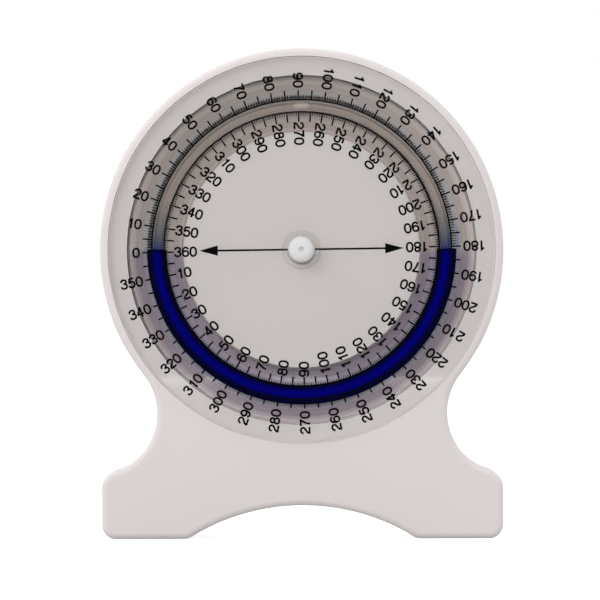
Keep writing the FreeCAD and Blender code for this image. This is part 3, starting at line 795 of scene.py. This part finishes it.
@dataclass
class ClearDial:
    """The clear disc and the clear channel ring behind it, bonded into one block."""

    layout: Layout
    disc_thickness: float = 2.38
    disc_round: float = 0.2
    edge_round: float = 0.06
    wall_depth: float = 0.08
    seam_depth: float = 0.05
    ring_inner: float = 30.3
    bore: float = 2.45
    hub_radius: float = 4.9
    hub_rise: float = 0.5
    hub_round: float = 0.3
    film_gap: float = 0.03
    pin_gap: float = 0.02
    shank_radius: float = 2.5
    steps: int = 240
    bore_steps: int = 48
    hub_steps: int = 96

    @property
    def hole(self) -> float:
        """Radius of the hole that the pivot pin's shank turns in."""
        return self.shank_radius + self.pin_gap

    def profile(self) -> np.ndarray:
        """Outline of the block: disc in front, thick ring behind.

        Returns:
            Rows of radius and depth.
        """
        place = self.layout
        back = place.disc_front + self.disc_thickness
        return rounded(
            [
                (self.hole, place.disc_front, 0),
                (place.disc_radius, place.disc_front, self.disc_round),
                (place.disc_radius, back, self.edge_round),
                (place.ring_outer, back, self.edge_round),
                (place.ring_outer, place.ring_back, self.edge_round),
                (self.ring_inner, place.ring_back, self.edge_round),
                (self.ring_inner, back, 0),
                (self.hole, back, 0),
            ]
        )

    def block(self) -> Surface:
        """The block without its channel: its profile turned about the axis.

        Faces behind the disc belong to the ring, and both outer walls are edges.

        Returns:
            The surface.
        """
        place = self.layout
        surface = lathe(self.profile(), place.axis_height, self.steps)
        centred = surface.points[surface.faces] - [0.0, 0.0, place.axis_height]
        radius = np.hypot(centred[..., 0], centred[..., 2]).mean(axis=1)
        seam = place.disc_front + self.disc_thickness + self.seam_depth
        behind = centred[..., 1].mean(axis=1) > seam
        wall = np.where(behind, place.ring_outer, place.disc_radius) - self.wall_depth
        side = np.where(behind, BlockFace.RING, BlockFace.DISC)
        finishes = np.where(radius > wall, BlockFace.EDGE, side)
        return Surface(surface.points, surface.faces, finishes)

    def channel(self) -> Surface:
        """The round channel: a circle of the bore's radius carried about the axis.

        Returns:
            The surface, facing into the channel.
        """
        angle = np.linspace(0, 2 * np.pi, self.bore_steps, endpoint=False)
        middle = [self.layout.channel_radius, self.layout.channel_level]
        circle = middle + self.bore * np.stack([np.cos(angle), np.sin(angle)], axis=-1)
        hollow = lathe(circle, self.layout.axis_height, self.steps).facing(outwards=False)
        return Surface(hollow.points, hollow.faces, BlockFace.CHANNEL)

    def acrylic(self, name: str, *tones: Tone, **polish: float) -> Material:
        """Make an acrylic of its own tones and polish."""
        return ClearAcrylic(name, self.layout.axis_height, tones, **polish).build()

    def build(self) -> None:
        """Make the block and the clear washer under the button."""
        place = self.layout
        finishes = [
            # The disc is clear, and a little darker at its rim: painted shade at the disc's edge
            self.acrylic(
                "clear_acrylic_disc",
                *((0.0, "#FEFEFE"), (47.0, "#FEFEFE"), (48.2, "#FEFDFD"), (48.8, "#FAF8F7")),
            ),
            # The ring's tones are painted shade of the deep trough seen through it, and its
            # stronger ripple paints reflections of its moulded wall
            self.acrylic(
                "clear_acrylic_ring",
                *((30.3, "#EAE6E4"), (31.2, "#E6E0DE"), (32.2, "#DDD6D2"), (33.2, "#E4E0DD")),
                *((34.4, "#DCDAD8"), (35.2, "#EAE7E5"), (37.2, "#E8E3E0"), (38.9, "#D8DBDE")),
                *((39.6, "#DCDFE2"), (41.0, "#DEDAD7"), (42.2, "#E2DCD8"), (42.9, "#FAF6F3")),
                (43.7, "#EAE4E1"),
                ripple=0.07,
            ),
            # The channel's tones are painted shade, darker towards both walls of the bore
            self.acrylic(
                "clear_acrylic_channel",
                *((34.2, "#CCC8C5"), (34.7, "#E4E0DE"), (35.2, "#F8F6F4"), (36.2, "#EEEBE8")),
                *((36.8, "#FCFAF8"), (37.4, "#F6F3F0"), (37.8, "#E4DCD0"), (38.3, "#E3DFDB")),
                *((38.7, "#D8D5D2"), (39.1, "#C6C5C5")),
            ),
            self.acrylic(
                "turned_acrylic_edge",
                *((0.0, "#F2F2F1"), (place.disc_radius, "#F2F2F1")),
                clearness=0.35,
                roughness=0.35,
            ),
        ]
        block = joined([self.block(), self.channel()])
        piece = new_piece("dial_clear", block, finishes, "dial")
        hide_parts("dial_disc", "channel_ring")
        front, back = place.disc_front - self.hub_rise, place.disc_front - self.film_gap
        outline = rounded(
            [
                (self.hole, front, 0),
                (self.hub_radius, front, self.hub_round),
                (self.hub_radius, back, 0),
                (self.hole, back, 0),
            ]
        )
        washer = lathe(outline, place.axis_height, self.hub_steps)
        # The washer darkens towards its rim: a painted shade line at its edge
        milky = self.acrylic(
            "milky_acrylic_washer",
            *((4.3, "#FFFFFF"), (4.6, "#FBFAF9"), (self.hub_radius, "#F1EFED")),
            clearness=0.98,
        )
        piece = new_piece("hub_ring", washer, [milky], "dial")
        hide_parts("hub_washer")
        LOG.info("built the clear dial")


# ----- Printed scales -----

# Centre lines of the numerals, as cubic curves in a cell one unit tall, with its middle at
# zero. Each stroke is a start point followed by groups of two handles and an end point.
STROKES: dict[str, list[list[tuple[float, float]]]] = {
    "0": [
        [(0.0, 1.0), (0.22, 1.0), (0.31, 0.8), (0.31, 0.5), (0.31, 0.2), (0.22, 0.0), (0.0, 0.0),
         (-0.22, 0.0), (-0.31, 0.2), (-0.31, 0.5), (-0.31, 0.8), (-0.22, 1.0), (0.0, 1.0)],
    ],
    "1": [
        [(-0.17, 0.78), (-0.04, 0.79), (0.08, 0.84), (0.12, 1.0)],
        [(0.12, 1.09), (0.12, 0.7), (0.12, 0.3), (0.12, -0.09)],
    ],
    "2": [
        [(-0.29, 0.68), (-0.29, 0.89), (-0.18, 1.0), (0.01, 1.0), (0.2, 1.0), (0.3, 0.89),
         (0.3, 0.72), (0.3, 0.44), (-0.26, 0.4), (-0.3, 0.03)],
        [(-0.37, 0.0), (-0.1, 0.0), (0.1, 0.0), (0.38, 0.0)],
    ],
    "3": [
        [(-0.28, 0.73), (-0.27, 0.91), (-0.16, 1.0), (0.0, 1.0), (0.17, 1.0), (0.27, 0.91),
         (0.27, 0.77), (0.27, 0.63), (0.16, 0.55), (-0.06, 0.55)],
        [(-0.06, 0.55), (0.18, 0.55), (0.3, 0.45), (0.3, 0.28), (0.3, 0.11), (0.18, 0.0),
         (0.0, 0.0), (-0.18, 0.0), (-0.3, 0.1), (-0.3, 0.27)],
    ],
    "4": [
        [(0.12, 1.09), (0.12, 0.7), (0.12, 0.3), (0.12, -0.09)],
        [(0.11, 1.03), (-0.03, 0.77), (-0.17, 0.51), (-0.31, 0.25)],
        [(-0.36, 0.25), (-0.1, 0.25), (0.1, 0.25), (0.37, 0.25)],
    ],
    "5": [
        [(0.28, 1.0), (0.12, 1.0), (-0.04, 1.0), (-0.22, 1.0)],
        [(-0.19, 1.02), (-0.21, 0.84), (-0.24, 0.66), (-0.27, 0.46)],
        [(-0.27, 0.48), (-0.2, 0.59), (-0.1, 0.64), (0.01, 0.64), (0.2, 0.64), (0.3, 0.52),
         (0.3, 0.33), (0.3, 0.12), (0.18, 0.0), (-0.01, 0.0), (-0.18, 0.0), (-0.29, 0.09),
         (-0.3, 0.25)],
    ],
    "6": [
        [(0.28, 0.77), (0.26, 0.92), (0.16, 1.0), (0.03, 1.0), (-0.2, 1.0), (-0.3, 0.8),
         (-0.3, 0.45), (-0.3, 0.15), (-0.19, 0.0), (0.01, 0.0), (0.19, 0.0), (0.3, 0.13),
         (0.3, 0.31), (0.3, 0.49), (0.19, 0.61), (0.02, 0.61), (-0.16, 0.61), (-0.28, 0.5),
         (-0.29, 0.34)],
    ],
    "7": [
        [(-0.36, 1.0), (-0.1, 1.0), (0.1, 1.0), (0.38, 1.0)],
        [(0.3, 0.97), (0.1, 0.74), (-0.07, 0.4), (-0.11, -0.09)],
    ],
    "8": [
        [(0.0, 0.55), (-0.15, 0.55), (-0.25, 0.65), (-0.25, 0.78), (-0.25, 0.91), (-0.15, 1.0),
         (0.0, 1.0), (0.15, 1.0), (0.25, 0.91), (0.25, 0.78), (0.25, 0.65), (0.15, 0.55),
         (0.0, 0.55)],
        [(0.0, 0.55), (-0.18, 0.55), (-0.3, 0.44), (-0.3, 0.28), (-0.3, 0.11), (-0.18, 0.0),
         (0.0, 0.0), (0.18, 0.0), (0.3, 0.11), (0.3, 0.28), (0.3, 0.44), (0.18, 0.55),
         (0.0, 0.55)],
    ],
}
# A nine is a six turned half round.
STROKES["9"] = [[(-across, 1.0 - up) for across, up in stroke] for stroke in STROKES["6"]]


def curve_points(handles: list[tuple[float, float]], steps: int) -> np.ndarray:
    """Points along joined cubic curves.

    Each curve is (1-t)^3 P0 + 3(1-t)^2 t P1 + 3(1-t) t^2 P2 + t^3 P3 for t from 0 to 1.

    Args:
        handles: the start, then two handles and an end for each curve.
        steps: number of pieces that each curve is cut into.

    Returns:
        Rows of two coordinates.
    """
    points = np.array(handles, float)
    spans = np.stack([points[place : place + 4] for place in range(0, len(points) - 1, 3)])
    along = np.linspace(0, 1, steps + 1)[:, None]
    left = 1 - along
    weights = [left**3, 3 * left**2 * along, 3 * left * along**2, along**3]
    curves = sum(weight * spans[:, number, None] for number, weight in enumerate(weights))
    return np.concatenate([curves[0][:1]] + [curve[1:] for curve in curves])


def ribbon(line: np.ndarray, width: float) -> Surface:
    """A flat plate of unit depth that follows a line in its own plane.

    Each point of the line is moved by half the width to both sides, along the normal of the
    line there. The two sides, front and back, make a ring of four points at each place.

    Args:
        line: rows of two coordinates.
        width: the plate's width.

    Returns:
        The plate, with depths 0 and 1 as its third coordinate, and closed ends.
    """
    slope = np.gradient(line, axis=0)
    if np.allclose(line[0], line[-1]):
        slope[0] = slope[-1] = line[1] - line[-2]
    slope /= np.linalg.norm(slope, axis=1, keepdims=True)
    side = np.stack([-slope[:, 1], slope[:, 0]], axis=-1) * width / 2
    edge, other = line + side, line - side
    ring = np.stack(
        [
            np.c_[edge, np.zeros(len(line))],
            np.c_[edge, np.ones(len(line))],
            np.c_[other, np.ones(len(line))],
            np.c_[other, np.zeros(len(line))],
        ],
        axis=1,
    )
    faces = grid_faces(len(line), 4, False, True)
    last = 4 * (len(line) - 1)
    ends = np.array([[3, 2, 1, 0], [last, last + 1, last + 2, last + 3]])
    return Surface(ring.reshape(-1, 3), np.concatenate([faces, ends])).facing()


class Reading(Enum):
    """How the values of a scale run from the left-hand side of the dial."""

    CLOCKWISE = 1
    ANTICLOCKWISE = -1


@dataclass(frozen=True)
class Scale:
    """One printed degree scale: a ring line, marks and numerals."""

    ring: float
    mark_end: float
    short_mark_end: float
    text_start: float
    # Whether the numerals lie outwards of text_start, or else inwards
    outwards: bool
    reading: Reading
    zero_text: str


@dataclass
class DialPrint:
    """The two scales and the level arrow, printed in black on the front of the disc."""

    layout: Layout
    outer: Scale = Scale(37.8, 40.15, 39.05, 40.75, True, Reading.CLOCKWISE, "0")
    inner: Scale = Scale(34.72, 32.2, 33.7, 32.2, False, Reading.ANTICLOCKWISE, "360")
    turned_deg: float = 1.0
    arrow_turned_deg: float = 0.6
    print_up: float = 0.03
    film: float = 0.03
    sunk: float = 0.01
    mark_group: int = 5
    numeral_step: int = 10
    digit_height: float = 2.7
    digit_advance: float = 1.96
    digit_widening: float = 1.07
    stroke: float = 0.5
    ring_width: float = 0.36
    long_mark_width: float = 0.4
    short_mark_width: float = 0.22
    arrow_tip: float = 25.8
    arrow_base: float = 21.1
    arrow_half: float = 1.3
    arrow_line: float = 0.48
    curve_steps: int = 5
    ring_steps: int = 360

    @property
    def back(self) -> float:
        """Depth of the print's back, a little inside the disc."""
        return self.layout.disc_front + self.sunk

    def on_dial(self, flat: np.ndarray, spin: np.ndarray) -> np.ndarray:
        """Lay flat shapes on the disc's front, each turned by its own angle.

        A shape's first coordinate runs outwards from the axis at spin zero, which is the
        left-hand side. Turning is clockwise for the person who reads the dial. The pad sets
        the whole print down a little above the axis.

        Args:
            flat: shapes, points and three coordinates: outwards, sideways and depth 0 to 1.
            spin: one angle in radians for each shape.

        Returns:
            Points in mm, in the frame of the whole object.
        """
        angle = (math.pi - spin)[:, None]
        out, side, depth = flat[..., 0], flat[..., 1], flat[..., 2]
        across = out * np.cos(angle) + side * np.sin(angle)
        up = out * np.sin(angle) - side * np.cos(angle) + self.print_up
        height = self.layout.axis_height + up
        return np.stack([across, self.back - depth * self.film, height], axis=-1)

    def laid(self, template: Surface, flat: np.ndarray, spin: np.ndarray) -> Surface:
        """Lay copies of a template on the dial.

        Args:
            template: a flat shape, for its faces.
            flat: each copy's own points, as on_dial takes them.
            spin: one angle in radians for each copy.

        Returns:
            All copies as one surface.
        """
        points = self.on_dial(flat, spin)
        starts = np.arange(len(spin))[:, None, None] * len(template.points)
        faces = (template.faces[None] + starts).reshape(-1, 4)
        return Surface(points.reshape(-1, 3), faces).facing()

    def marks(self, scale: Scale) -> list[Surface]:
        """A mark for each degree, longer and wider at the first of each mark_group.

        Args:
            scale: the scale.

        Returns:
            The marks, in a list of one surface.
        """
        degree = np.arange(360)
        major = degree % self.mark_group == 0
        template = ribbon(np.array([[0.0, 0.0], [1.0, 0.0]]), 1.0)
        end = np.where(major, scale.mark_end, scale.short_mark_end)[:, None]
        width = np.where(major, self.long_mark_width, self.short_mark_width)[:, None]
        flat = np.empty((len(degree), len(template.points), 3))
        flat[..., 0] = scale.ring + template.points[:, 0] * (end - scale.ring)
        flat[..., 1] = template.points[:, 1] * width
        flat[..., 2] = template.points[:, 2]
        return [self.laid(template, flat, np.radians(degree - self.turned_deg))]

    def ring_line(self, scale: Scale) -> Surface:
        """The thin circle that the marks stand on.

        Args:
            scale: the scale.

        Returns:
            A flat ring: its cross-section turned about the axis.
        """
        inner, outer = scale.ring - self.ring_width / 2, scale.ring + self.ring_width / 2
        front = self.back - self.film
        section = [[inner, self.back], [outer, self.back], [outer, front], [inner, front]]
        ring = lathe(np.array(section), self.layout.axis_height, self.ring_steps)
        return Surface(ring.points + [0.0, 0.0, self.print_up], ring.faces)

    def numerals(self, scale: Scale) -> list[Surface]:
        """The numerals, each read from the outside towards the axis.

        Args:
            scale: the scale.

        Returns:
            A surface for each stroke of each digit, with all its copies.
        """
        placed: dict[str, list[tuple[float, float]]] = {digit: [] for digit in STROKES}
        for degree in range(0, 360, self.numeral_step):
            text = str(degree) if degree else scale.zero_text
            spin = math.radians(scale.reading.value * degree - self.turned_deg)
            for place, digit in enumerate(text):
                cells = place - len(text) + 0.5 if scale.outwards else place + 0.5
                placed[digit].append((spin, cells * self.digit_advance))
        surfaces = []
        for digit, uses in placed.items():
            spin, shift = np.array(uses).T
            for stroke in STROKES[digit]:
                line = curve_points(stroke, self.curve_steps) - [0.0, 0.5]
                line *= [self.digit_widening, 1.0]
                template = ribbon(line * (self.digit_height - self.stroke), self.stroke)
                flat = np.repeat(template.points[None], len(uses), axis=0)
                flat[..., 0] = scale.text_start - (flat[..., 0] + shift[:, None])
                surfaces.append(self.laid(template, flat, spin))
        return surfaces

    def arrow(self) -> list[Surface]:
        """A level line through the axis with an arrowhead at each end.

        Returns:
            The lines and the heads.
        """
        base, tip, half = self.arrow_base, self.arrow_tip, self.arrow_half
        line = ribbon(np.array([[0.0, 0.0], [base, 0.0]]), self.arrow_line)
        corners = np.array([[base, half], [tip, 0.0], [tip, 0.0], [base, -half]])
        head = Surface(
            np.concatenate([np.c_[corners, np.zeros(4)], np.c_[corners, np.ones(4)]]),
            np.array([[0, 1, 2, 3], [7, 6, 5, 4], [0, 4, 5, 1], [2, 6, 7, 3], [3, 7, 4, 0]]),
        )
        spin = np.array([0.0, math.pi]) - math.radians(self.arrow_turned_deg)
        return [
            self.laid(shape, np.repeat(shape.points[None], 2, axis=0), spin)
            for shape in (line, head)
        ]

    def build(self) -> None:
        """Print the dial."""
        ink = PadPrintedInk("black_pad_print", "#030304", "#0A0A0B").build()
        surfaces = [self.ring_line(scale) for scale in (self.outer, self.inner)]
        for scale in (self.outer, self.inner):
            surfaces += self.marks(scale) + self.numerals(scale)
        surfaces += self.arrow()
        shape = joined(surfaces)
        piece = new_piece("dial_print", shape, [ink], "dial", sharp_deg=20.0)
        piece.visible_shadow = False
        LOG.info("printed the dial: %d faces", len(piece.data.polygons))


# ----- The liquid -----


@dataclass
class Liquid:
    """The dyed liquid in the lower half of the channel, and the film that it leaves above."""

    layout: Layout
    bore: float = 2.45
    overlap: float = 0.015
    plug_gap: float = 0.02
    climb: float = 0.2
    sag: float = 0.6
    film_rise: float = 13.0
    film_thickness: float = 0.05
    cast_inner: float = 30.5
    cast_outer: float = 43.5
    cast_gap: float = 0.2
    cast_lead: float = 0.8
    cast_rise: float = 10.0
    steps: int = 200
    around: int = 48
    cap_rows: int = 10
    film_rows: int = 24

    @property
    def back(self) -> float:
        """How far back from the channel's middle line the liquid and its film reach."""
        return self.bore - self.plug_gap

    def in_channel(self, turn: np.ndarray, reach: np.ndarray, around: np.ndarray) -> np.ndarray:
        """Points about the channel's middle line.

        Args:
            turn: each point's place along the channel, in radians up from the right-hand side.
            reach: its distance from the middle line, in mm.
            around: its angle about the middle line, from outwards by way of backwards.

        Returns:
            Points in mm. The arguments are spread out to one common shape first.
        """
        place = self.layout
        turn, reach, around = np.broadcast_arrays(turn, reach, around)
        out = place.channel_radius + reach * np.cos(around)
        depth = place.channel_level + reach * np.sin(around)
        points = [out * np.cos(turn), depth, place.axis_height + out * np.sin(turn)]
        return np.stack(points, axis=-1)

    def body(self) -> Surface:
        """The half ring with a hollow meniscus at each end.

        A circle is carried from one end to the other along the lower half of the channel.
        At an end the circle shrinks to a point, and its height falls from the wall to the
        middle by the fourth power of the share of the radius. The back is a little flat, so
        that the filling plug's end passes behind it.

        Returns:
            The surface.
        """
        reach = self.climb / self.layout.channel_radius
        ends = np.linspace(0, 1, self.cap_rows, endpoint=False)
        share = np.concatenate([ends, np.ones(self.steps), ends[::-1]])
        fall = (self.climb + self.sag) * (1 - share**4) / self.layout.channel_radius
        along = np.linspace(0, 1, self.steps)
        place = np.concatenate([0 * ends, along, 0 * ends + 1])
        turn = reach - fall - place * (math.pi + 2 * reach - 2 * fall)
        around = np.linspace(0, 2 * np.pi, self.around, endpoint=False)
        radius = (self.bore + self.overlap) * share
        points = self.in_channel(turn[:, None], radius[:, None], around[None, :])
        points[..., 1] = np.minimum(points[..., 1], self.layout.channel_level + self.back)
        faces = grid_faces(len(turn), self.around, False, True)
        return Surface(points.reshape(-1, 3), faces).facing()

    def film(self, side: int) -> Surface:
        """A thin lining on the back of the channel's wall, from the level to film_rise.

        Args:
            side: 1 for the right-hand end and -1 for the left-hand end.

        Returns:
            The lining, closed: a half tube with an outer wall, an inner wall and four edges.
        """
        rise = np.linspace(0.0, self.film_rise, self.film_rows) / self.layout.channel_radius
        turn = rise if side > 0 else math.pi - rise
        half = np.linspace(0.0, math.pi, self.around // 2)
        around = np.concatenate([half, half[::-1]])
        outer = np.full(len(half), self.back)
        reach = np.concatenate([outer, outer - self.film_thickness])
        points = self.in_channel(turn[:, None], reach[None, :], around[None, :])
        count = len(around)
        edge = np.arange(len(half) - 1)
        cap = np.stack([edge, edge + 1, count - 2 - edge, count - 1 - edge], axis=-1)
        faces = [
            grid_faces(len(turn), count, False, True),
            cap[:, ::-1],
            cap + (len(turn) - 1) * count,
        ]
        return Surface(points.reshape(-1, 3), np.concatenate(faces)).facing()

    def cast(self) -> Surface:
        """A thin half ring behind the channel ring, for the colour that the dye casts.

        It is a sheet of painted light and shade. It follows the liquid, and on the right-hand
        side goes on up to cast_rise.

        Returns:
            The surface.
        """
        inner, outer = self.cast_inner, self.cast_outer
        middle = (inner + outer) / 2
        turn = np.linspace(self.cast_rise / outer, -math.pi - self.cast_lead / outer, self.steps)
        line = middle * np.stack([np.cos(turn), np.sin(turn)], axis=-1)
        plate = ribbon(line, outer - inner)
        across, up, depth = plate.points.T
        back = self.layout.ring_back + self.cast_gap
        points = [across, back + self.film_thickness * depth, self.layout.axis_height + up]
        return Surface(np.stack(points, axis=-1), plate.faces).facing()

    def build(self) -> None:
        """Pour the liquid."""
        height = self.layout.axis_height
        # The tones paint light in the middle of the channel and shade near black at both walls;
        # the meniscus colour is painted shade
        dye = DyedLiquid(
            "blue_dyed_liquid",
            height,
            (
                *((34.2, "#01022A"), (34.6, "#01012E"), (35.2, "#010148"), (35.8, "#020166")),
                *((36.4, "#020176"), (37.0, "#02016E"), (37.6, "#01015A"), (38.2, "#010144")),
                (39.1, "#020238"),
            ),
            meniscus="#020226",
        ).build()
        piece = new_piece("liquid", self.body(), [dye], "fluid")
        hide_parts("indicator_fluid")
        stain = DyeFilm(
            "blue_film",
            height,
            (
                *((0.2, "#A0A8E6"), (1.6, "#BAC6EE"), (3.0, "#CDD8E8"), (5.0, "#DDE4EC")),
                *((8.0, "#EBF0F2"), (self.film_rise, "#FFFFFF")),
            ),
        ).build()
        linings = joined([self.film(1), self.film(-1)])
        piece = new_piece("liquid_film", linings, [stain], "fluid")
        piece.visible_shadow = False
        # A sheet of painted light and shade behind the ring: violet shade in the trough below the
        # level, light blue beside the channel above it
        cast = DyeCast(
            "blue_cast",
            height,
            below=(
                *((self.cast_inner, "#ECEBF6"), (32.0, "#EEEDF8"), (34.0, "#F2F3FF")),
                *((39.4, "#FAFAFF"), (40.2, "#EEECF5"), (42.2, "#F0EEF6")),
                (self.cast_outer, "#F8F7FC"),
            ),
            above=((38.1, "#FFFFFF"), (38.6, "#E6F2FF"), (39.8, "#E6F2FF"), (40.5, "#FFFFFF")),
            fade=self.cast_rise,
        ).build()
        piece = new_piece("liquid_cast", self.cast(), [cast], "fluid")
        piece.visible_shadow = False
        LOG.info("poured the liquid")


# ----- Studio -----


@dataclass
class Lamp:
    """One soft square lamp that points at the object: its place and size in metres."""

    name: str
    place: tuple[float, float, float]
    size: float
    power: float

    def build(self, target: tuple[float, float, float]) -> None:
        """Hang the lamp and aim it.

        Args:
            target: the point that it aims at, in metres.
        """
        data = bpy.data.lights.new(self.name, "AREA")
        data.size = self.size
        data.energy = self.power
        data.cycles.use_multiple_importance_sampling = False
        lamp = bpy.data.objects.new(self.name, data)
        lamp.visible_transmission = False
        lamp.visible_glossy = False
        lamp.location = self.place
        aim = np.array(target) - np.array(self.place)
        lamp.rotation_euler = Vector(aim.tolist()).to_track_quat("-Z", "Y").to_euler()
        bpy.context.scene.collection.objects.link(lamp)


@dataclass
class Studio:
    """A white floor, soft lamps, a white surround and the camera.

    Its lengths are in metres, but for the camera's target and sensor, which are in mm.
    """

    layout: Layout
    distance: float = 0.76
    target: tuple[float, float, float] = (-0.42, -8.0, 60.29)
    azimuth_deg: float = 0.8
    elevation_deg: float = -0.5
    roll_deg: float = -0.2
    pixels_per_mm: float = 3.962
    frame_pixels: int = 600
    sensor_width: float = 36.0
    view_end: float = 20.0
    floor_half: float = 6.0
    floor_grey: float = 0.42
    # The floor's own glow, which is weaker near the object, so that its shadow shows there
    glow: tuple[tuple[float, float], ...] = ((0.2, 0.86), (0.6, 1.0))
    # The sky's colours, by share of the way from the reader's side to the back
    sky: tuple[tuple[float, Colour], ...] = (
        (0.15, (0.02, 0.02, 0.021, 1.0)),
        (0.55, (1.5, 1.5, 1.5, 1.0)),
    )
    # Where metal and gloss begin to show the background, and where they show all of it
    behind: tuple[float, float] = (-0.2, 0.1)
    lamps: list[Lamp] = field(
        default_factory=lambda: [
            Lamp("front_lamp", (0.0, -2.4, 0.34), 0.6, 30.2),
            Lamp("upper_left_lamp", (-1.2, -1.6, 1.25), 2.0, 19.4),
        ]
    )

    def camera(self) -> None:
        """A long lens in front of the object, a little below the dial's middle."""
        data = bpy.data.cameras.new("camera")
        data.sensor_width = self.sensor_width
        scale = self.pixels_per_mm * self.sensor_width / self.frame_pixels
        data.lens = scale * self.distance / MM
        data.clip_end = self.view_end
        camera = bpy.data.objects.new("camera", data)
        azimuth, elevation = math.radians(self.azimuth_deg), math.radians(self.elevation_deg)
        flat = math.cos(elevation) * np.array([math.sin(azimuth), -math.cos(azimuth)])
        away = np.array([*flat, math.sin(elevation)])
        target = np.array(self.target) * MM
        camera.location = (target + self.distance * away).tolist()
        turn = Vector((-away).tolist()).to_track_quat("-Z", "Y")
        roll = Quaternion((0.0, 0.0, 1.0), math.radians(self.roll_deg))
        camera.rotation_euler = (turn @ roll).to_euler()
        bpy.context.scene.collection.objects.link(camera)
        bpy.context.scene.camera = camera

    def floor(self) -> None:
        """A large white floor. It shows as white, but for the object's own soft shadow."""
        half = self.floor_half
        corners = [(-half, -half, 0), (half, -half, 0), (half, half, 0), (-half, half, 0)]
        mesh = bpy.data.meshes.new("floor")
        mesh.from_pydata(corners, [], [(0, 1, 2, 3)])
        material, tree, point = new_material("white_floor")
        away = add_node(tree, "VectorMath", {"operation": "LENGTH", 0: point})
        (near, dim), (far, full) = self.glow
        ends = {"From Min": near, "From Max": far, "To Min": dim, "To Max": full}
        lift = add_node(tree, "MapRange", ends | {"Value": away.outputs["Value"]})
        seen = {"operation": "MULTIPLY", 0: lift, 1: background_rays(tree)}
        strength = add_node(tree, "Math", seen)
        matt = add_node(tree, "BsdfDiffuse", {"Color": (*[self.floor_grey] * 3, 1.0)})
        glow = add_node(tree, "Emission", {"Color": WHITE, "Strength": strength})
        both = add_node(tree, "AddShader", {0: matt, 1: glow})
        add_node(tree, "OutputMaterial", {"Surface": both})
        mesh.materials.append(material)
        floor = bpy.data.objects.new("floor", mesh)
        floor.visible_glossy = False
        bpy.context.scene.collection.objects.link(floor)

    def world(self) -> None:
        """White behind the object, and a soft sky that is darker on the reader's side."""
        world = bpy.data.worlds.new("surround")
        world.cycles.sampling_method = "NONE"
        bpy.context.scene.world = world
        world.use_nodes = True
        tree = world.node_tree
        tree.nodes.clear()
        direction = add_node(tree, "TexCoord").outputs["Generated"]
        back = add_node(tree, "SeparateXYZ", {0: direction}).outputs["Y"]
        share = add_node(tree, "MapRange", {"From Min": -1.0, "From Max": 1.0, "Value": back})
        sky = add_node(tree, "ValToRGB", {"Fac": share})
        set_ramp(sky, list(self.sky))
        start, end = self.behind
        behind = add_node(tree, "MapRange", {"From Min": start, "From Max": end, "Value": back})
        seen = add_node(tree, "MixRGB", {0: background_rays(tree, behind), 1: sky, 2: WHITE})
        background = add_node(tree, "Background", {"Color": seen})
        add_node(tree, "OutputWorld", {"Surface": background})

    def build(self) -> None:
        """Set up everything around the object."""
        bpy.context.scene.view_settings.view_transform = "Standard"
        self.floor()
        self.world()
        target = (0.0, 0.0, self.layout.axis_height * MM)
        for lamp in self.lamps:
            lamp.build(target)
        self.camera()
        LOG.info("set up the studio")


def main() -> None:
    """Dress and build the object, then set up the studio."""
    logging.basicConfig(level=logging.INFO, format="%(name)s: %(message)s")
    layout = Layout.read()
    CadPieces().build()
    ClearDial(layout).build()
    DialPrint(layout).build()
    Liquid(layout).build()
    Studio(layout).build()


if __name__ == "__main__":
    main()
